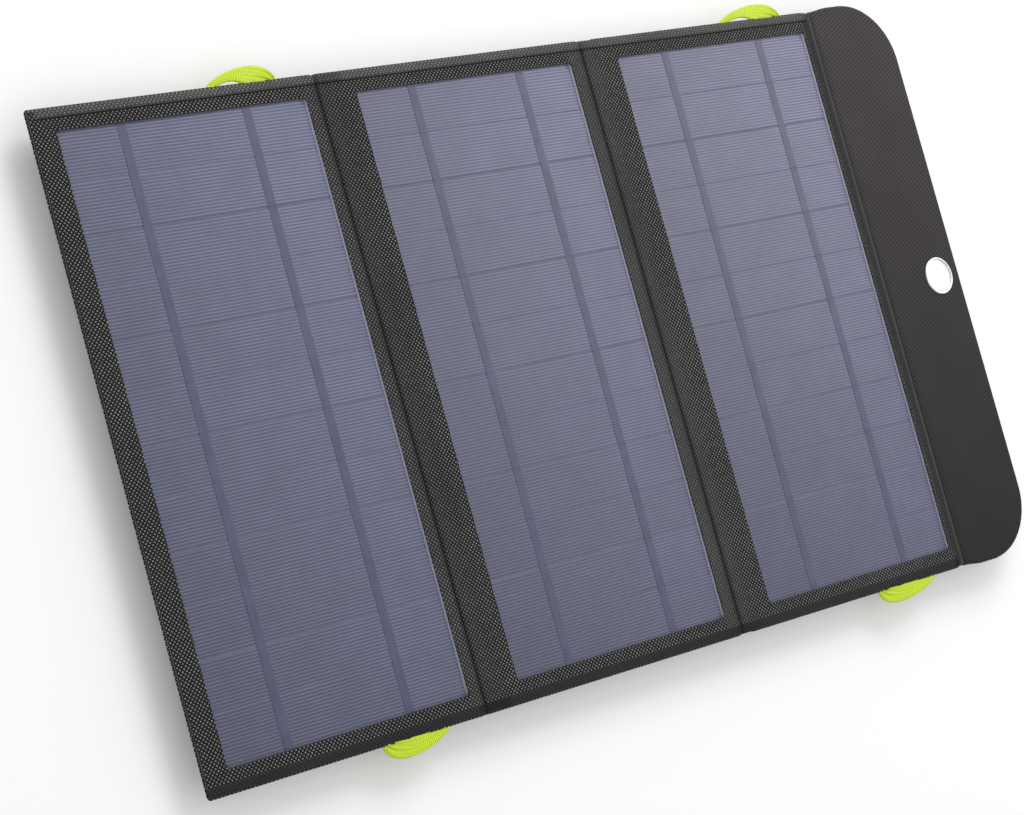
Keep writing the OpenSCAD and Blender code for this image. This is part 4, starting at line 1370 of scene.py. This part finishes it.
class BuildStage(bpy.types.Operator):
    """Sets up the pale floor, the soft light and the camera."""

    bl_idname = "solar_charger.stage"
    bl_label = "Stage"

    def execute(self, context):
        s = settings().stage
        scene = context.scene
        scene.view_settings.view_transform = "Standard"
        grid = np.linspace(-3, 3, 13)
        x, y = np.meshgrid(grid, grid, indexing="ij")
        mesh = bpy.data.meshes.new("floor")
        points = np.stack([x, y, 0 * x - 0.2 * MM], axis=-1).reshape(-1, 3)
        mesh.from_pydata(points.tolist(), [], grid_quads(13, 13).tolist())
        floor = bpy.data.objects.new("floor", mesh)
        scene.collection.objects.link(floor)
        # Matt white paper: one even tone, so that only the light shapes it.
        paper, _, shader = start_material("floor_paper")
        shader.inputs["Base Color"].default_value = linear("#fafafa")
        shader.inputs["Roughness"].default_value = 0.9
        mesh.materials.append(paper)
        world = bpy.data.worlds.new("studio")
        world.use_nodes = True
        background = world.node_tree.nodes["Background"]
        background.inputs["Color"].default_value = (1.0, 1.0, 1.0, 1.0)
        background.inputs["Strength"].default_value = s.ambient
        scene.world = world
        middle = (0.0, 0.0, FACE_Z)
        area_light("key", (0.25, 1.2, 1.25), middle, 0.9, s.key_power)
        sheen = area_light("sheen", (1.35, 0.42, 1.2), middle, 0.7, 0.66 * s.key_power)
        sheen.data.use_shadow = False
        sheen.data.color = (1.0, 0.94, 0.98)
        area_light("fill", (-1.2, -0.6, 1.4), middle, 1.2, 0.14 * s.key_power)
        data = bpy.data.cameras.new("camera")
        data.lens = s.lens
        data.sensor_width = 36.0
        camera = bpy.data.objects.new("camera", data)
        camera.location = tuple(s.camera)
        camera.rotation_euler = turned_to(s.camera, s.aim, s.roll)
        scene.collection.objects.link(camera)
        scene.camera = camera
        return {"FINISHED"}


# ---------------------------------------------------------------- add-on


class ChargerPanel(bpy.types.Panel):
    """Lists the builders and what they read."""

    bl_idname = "VIEW3D_PT_solar_charger"
    bl_label = "Solar charger"
    bl_space_type = "VIEW_3D"
    bl_region_type = "UI"
    bl_category = "Solar charger"

    def draw(self, context):
        layout = self.layout
        for operator in OPERATORS:
            layout.operator(operator.bl_idname)
        for group in (settings().sizes, settings().colours, settings().stage):
            box = layout.box()
            for name in group.bl_rna.properties.keys():
                if name not in ("rna_type", "name"):
                    box.prop(group, name)


OPERATORS = (
    BuildStage,
    BuildFrontCovers,
    BuildBackCovers,
    FinishCells,
    BuildLoops,
    BuildFlap,
    BuildClasp,
    BuildPocket,
    BuildZip,
    FinishRegulator,
)
CLASSES = (ChargerSizes, ChargerColours, StageSettings, ChargerSettings, *OPERATORS, ChargerPanel)


def register():
    for cls in CLASSES:
        bpy.utils.register_class(cls)
    bpy.types.Scene.solar_charger = bpy.props.PointerProperty(type=ChargerSettings)


def unregister():
    del bpy.types.Scene.solar_charger
    for cls in reversed(CLASSES):
        bpy.utils.unregister_class(cls)


def main():
    """Builds everything in order."""
    register()
    for operator in OPERATORS:
        group, name = operator.bl_idname.split(".")
        getattr(getattr(bpy.ops, group), name)()
    bpy.context.view_layer.update()


if __name__ == "__main__":
    main()
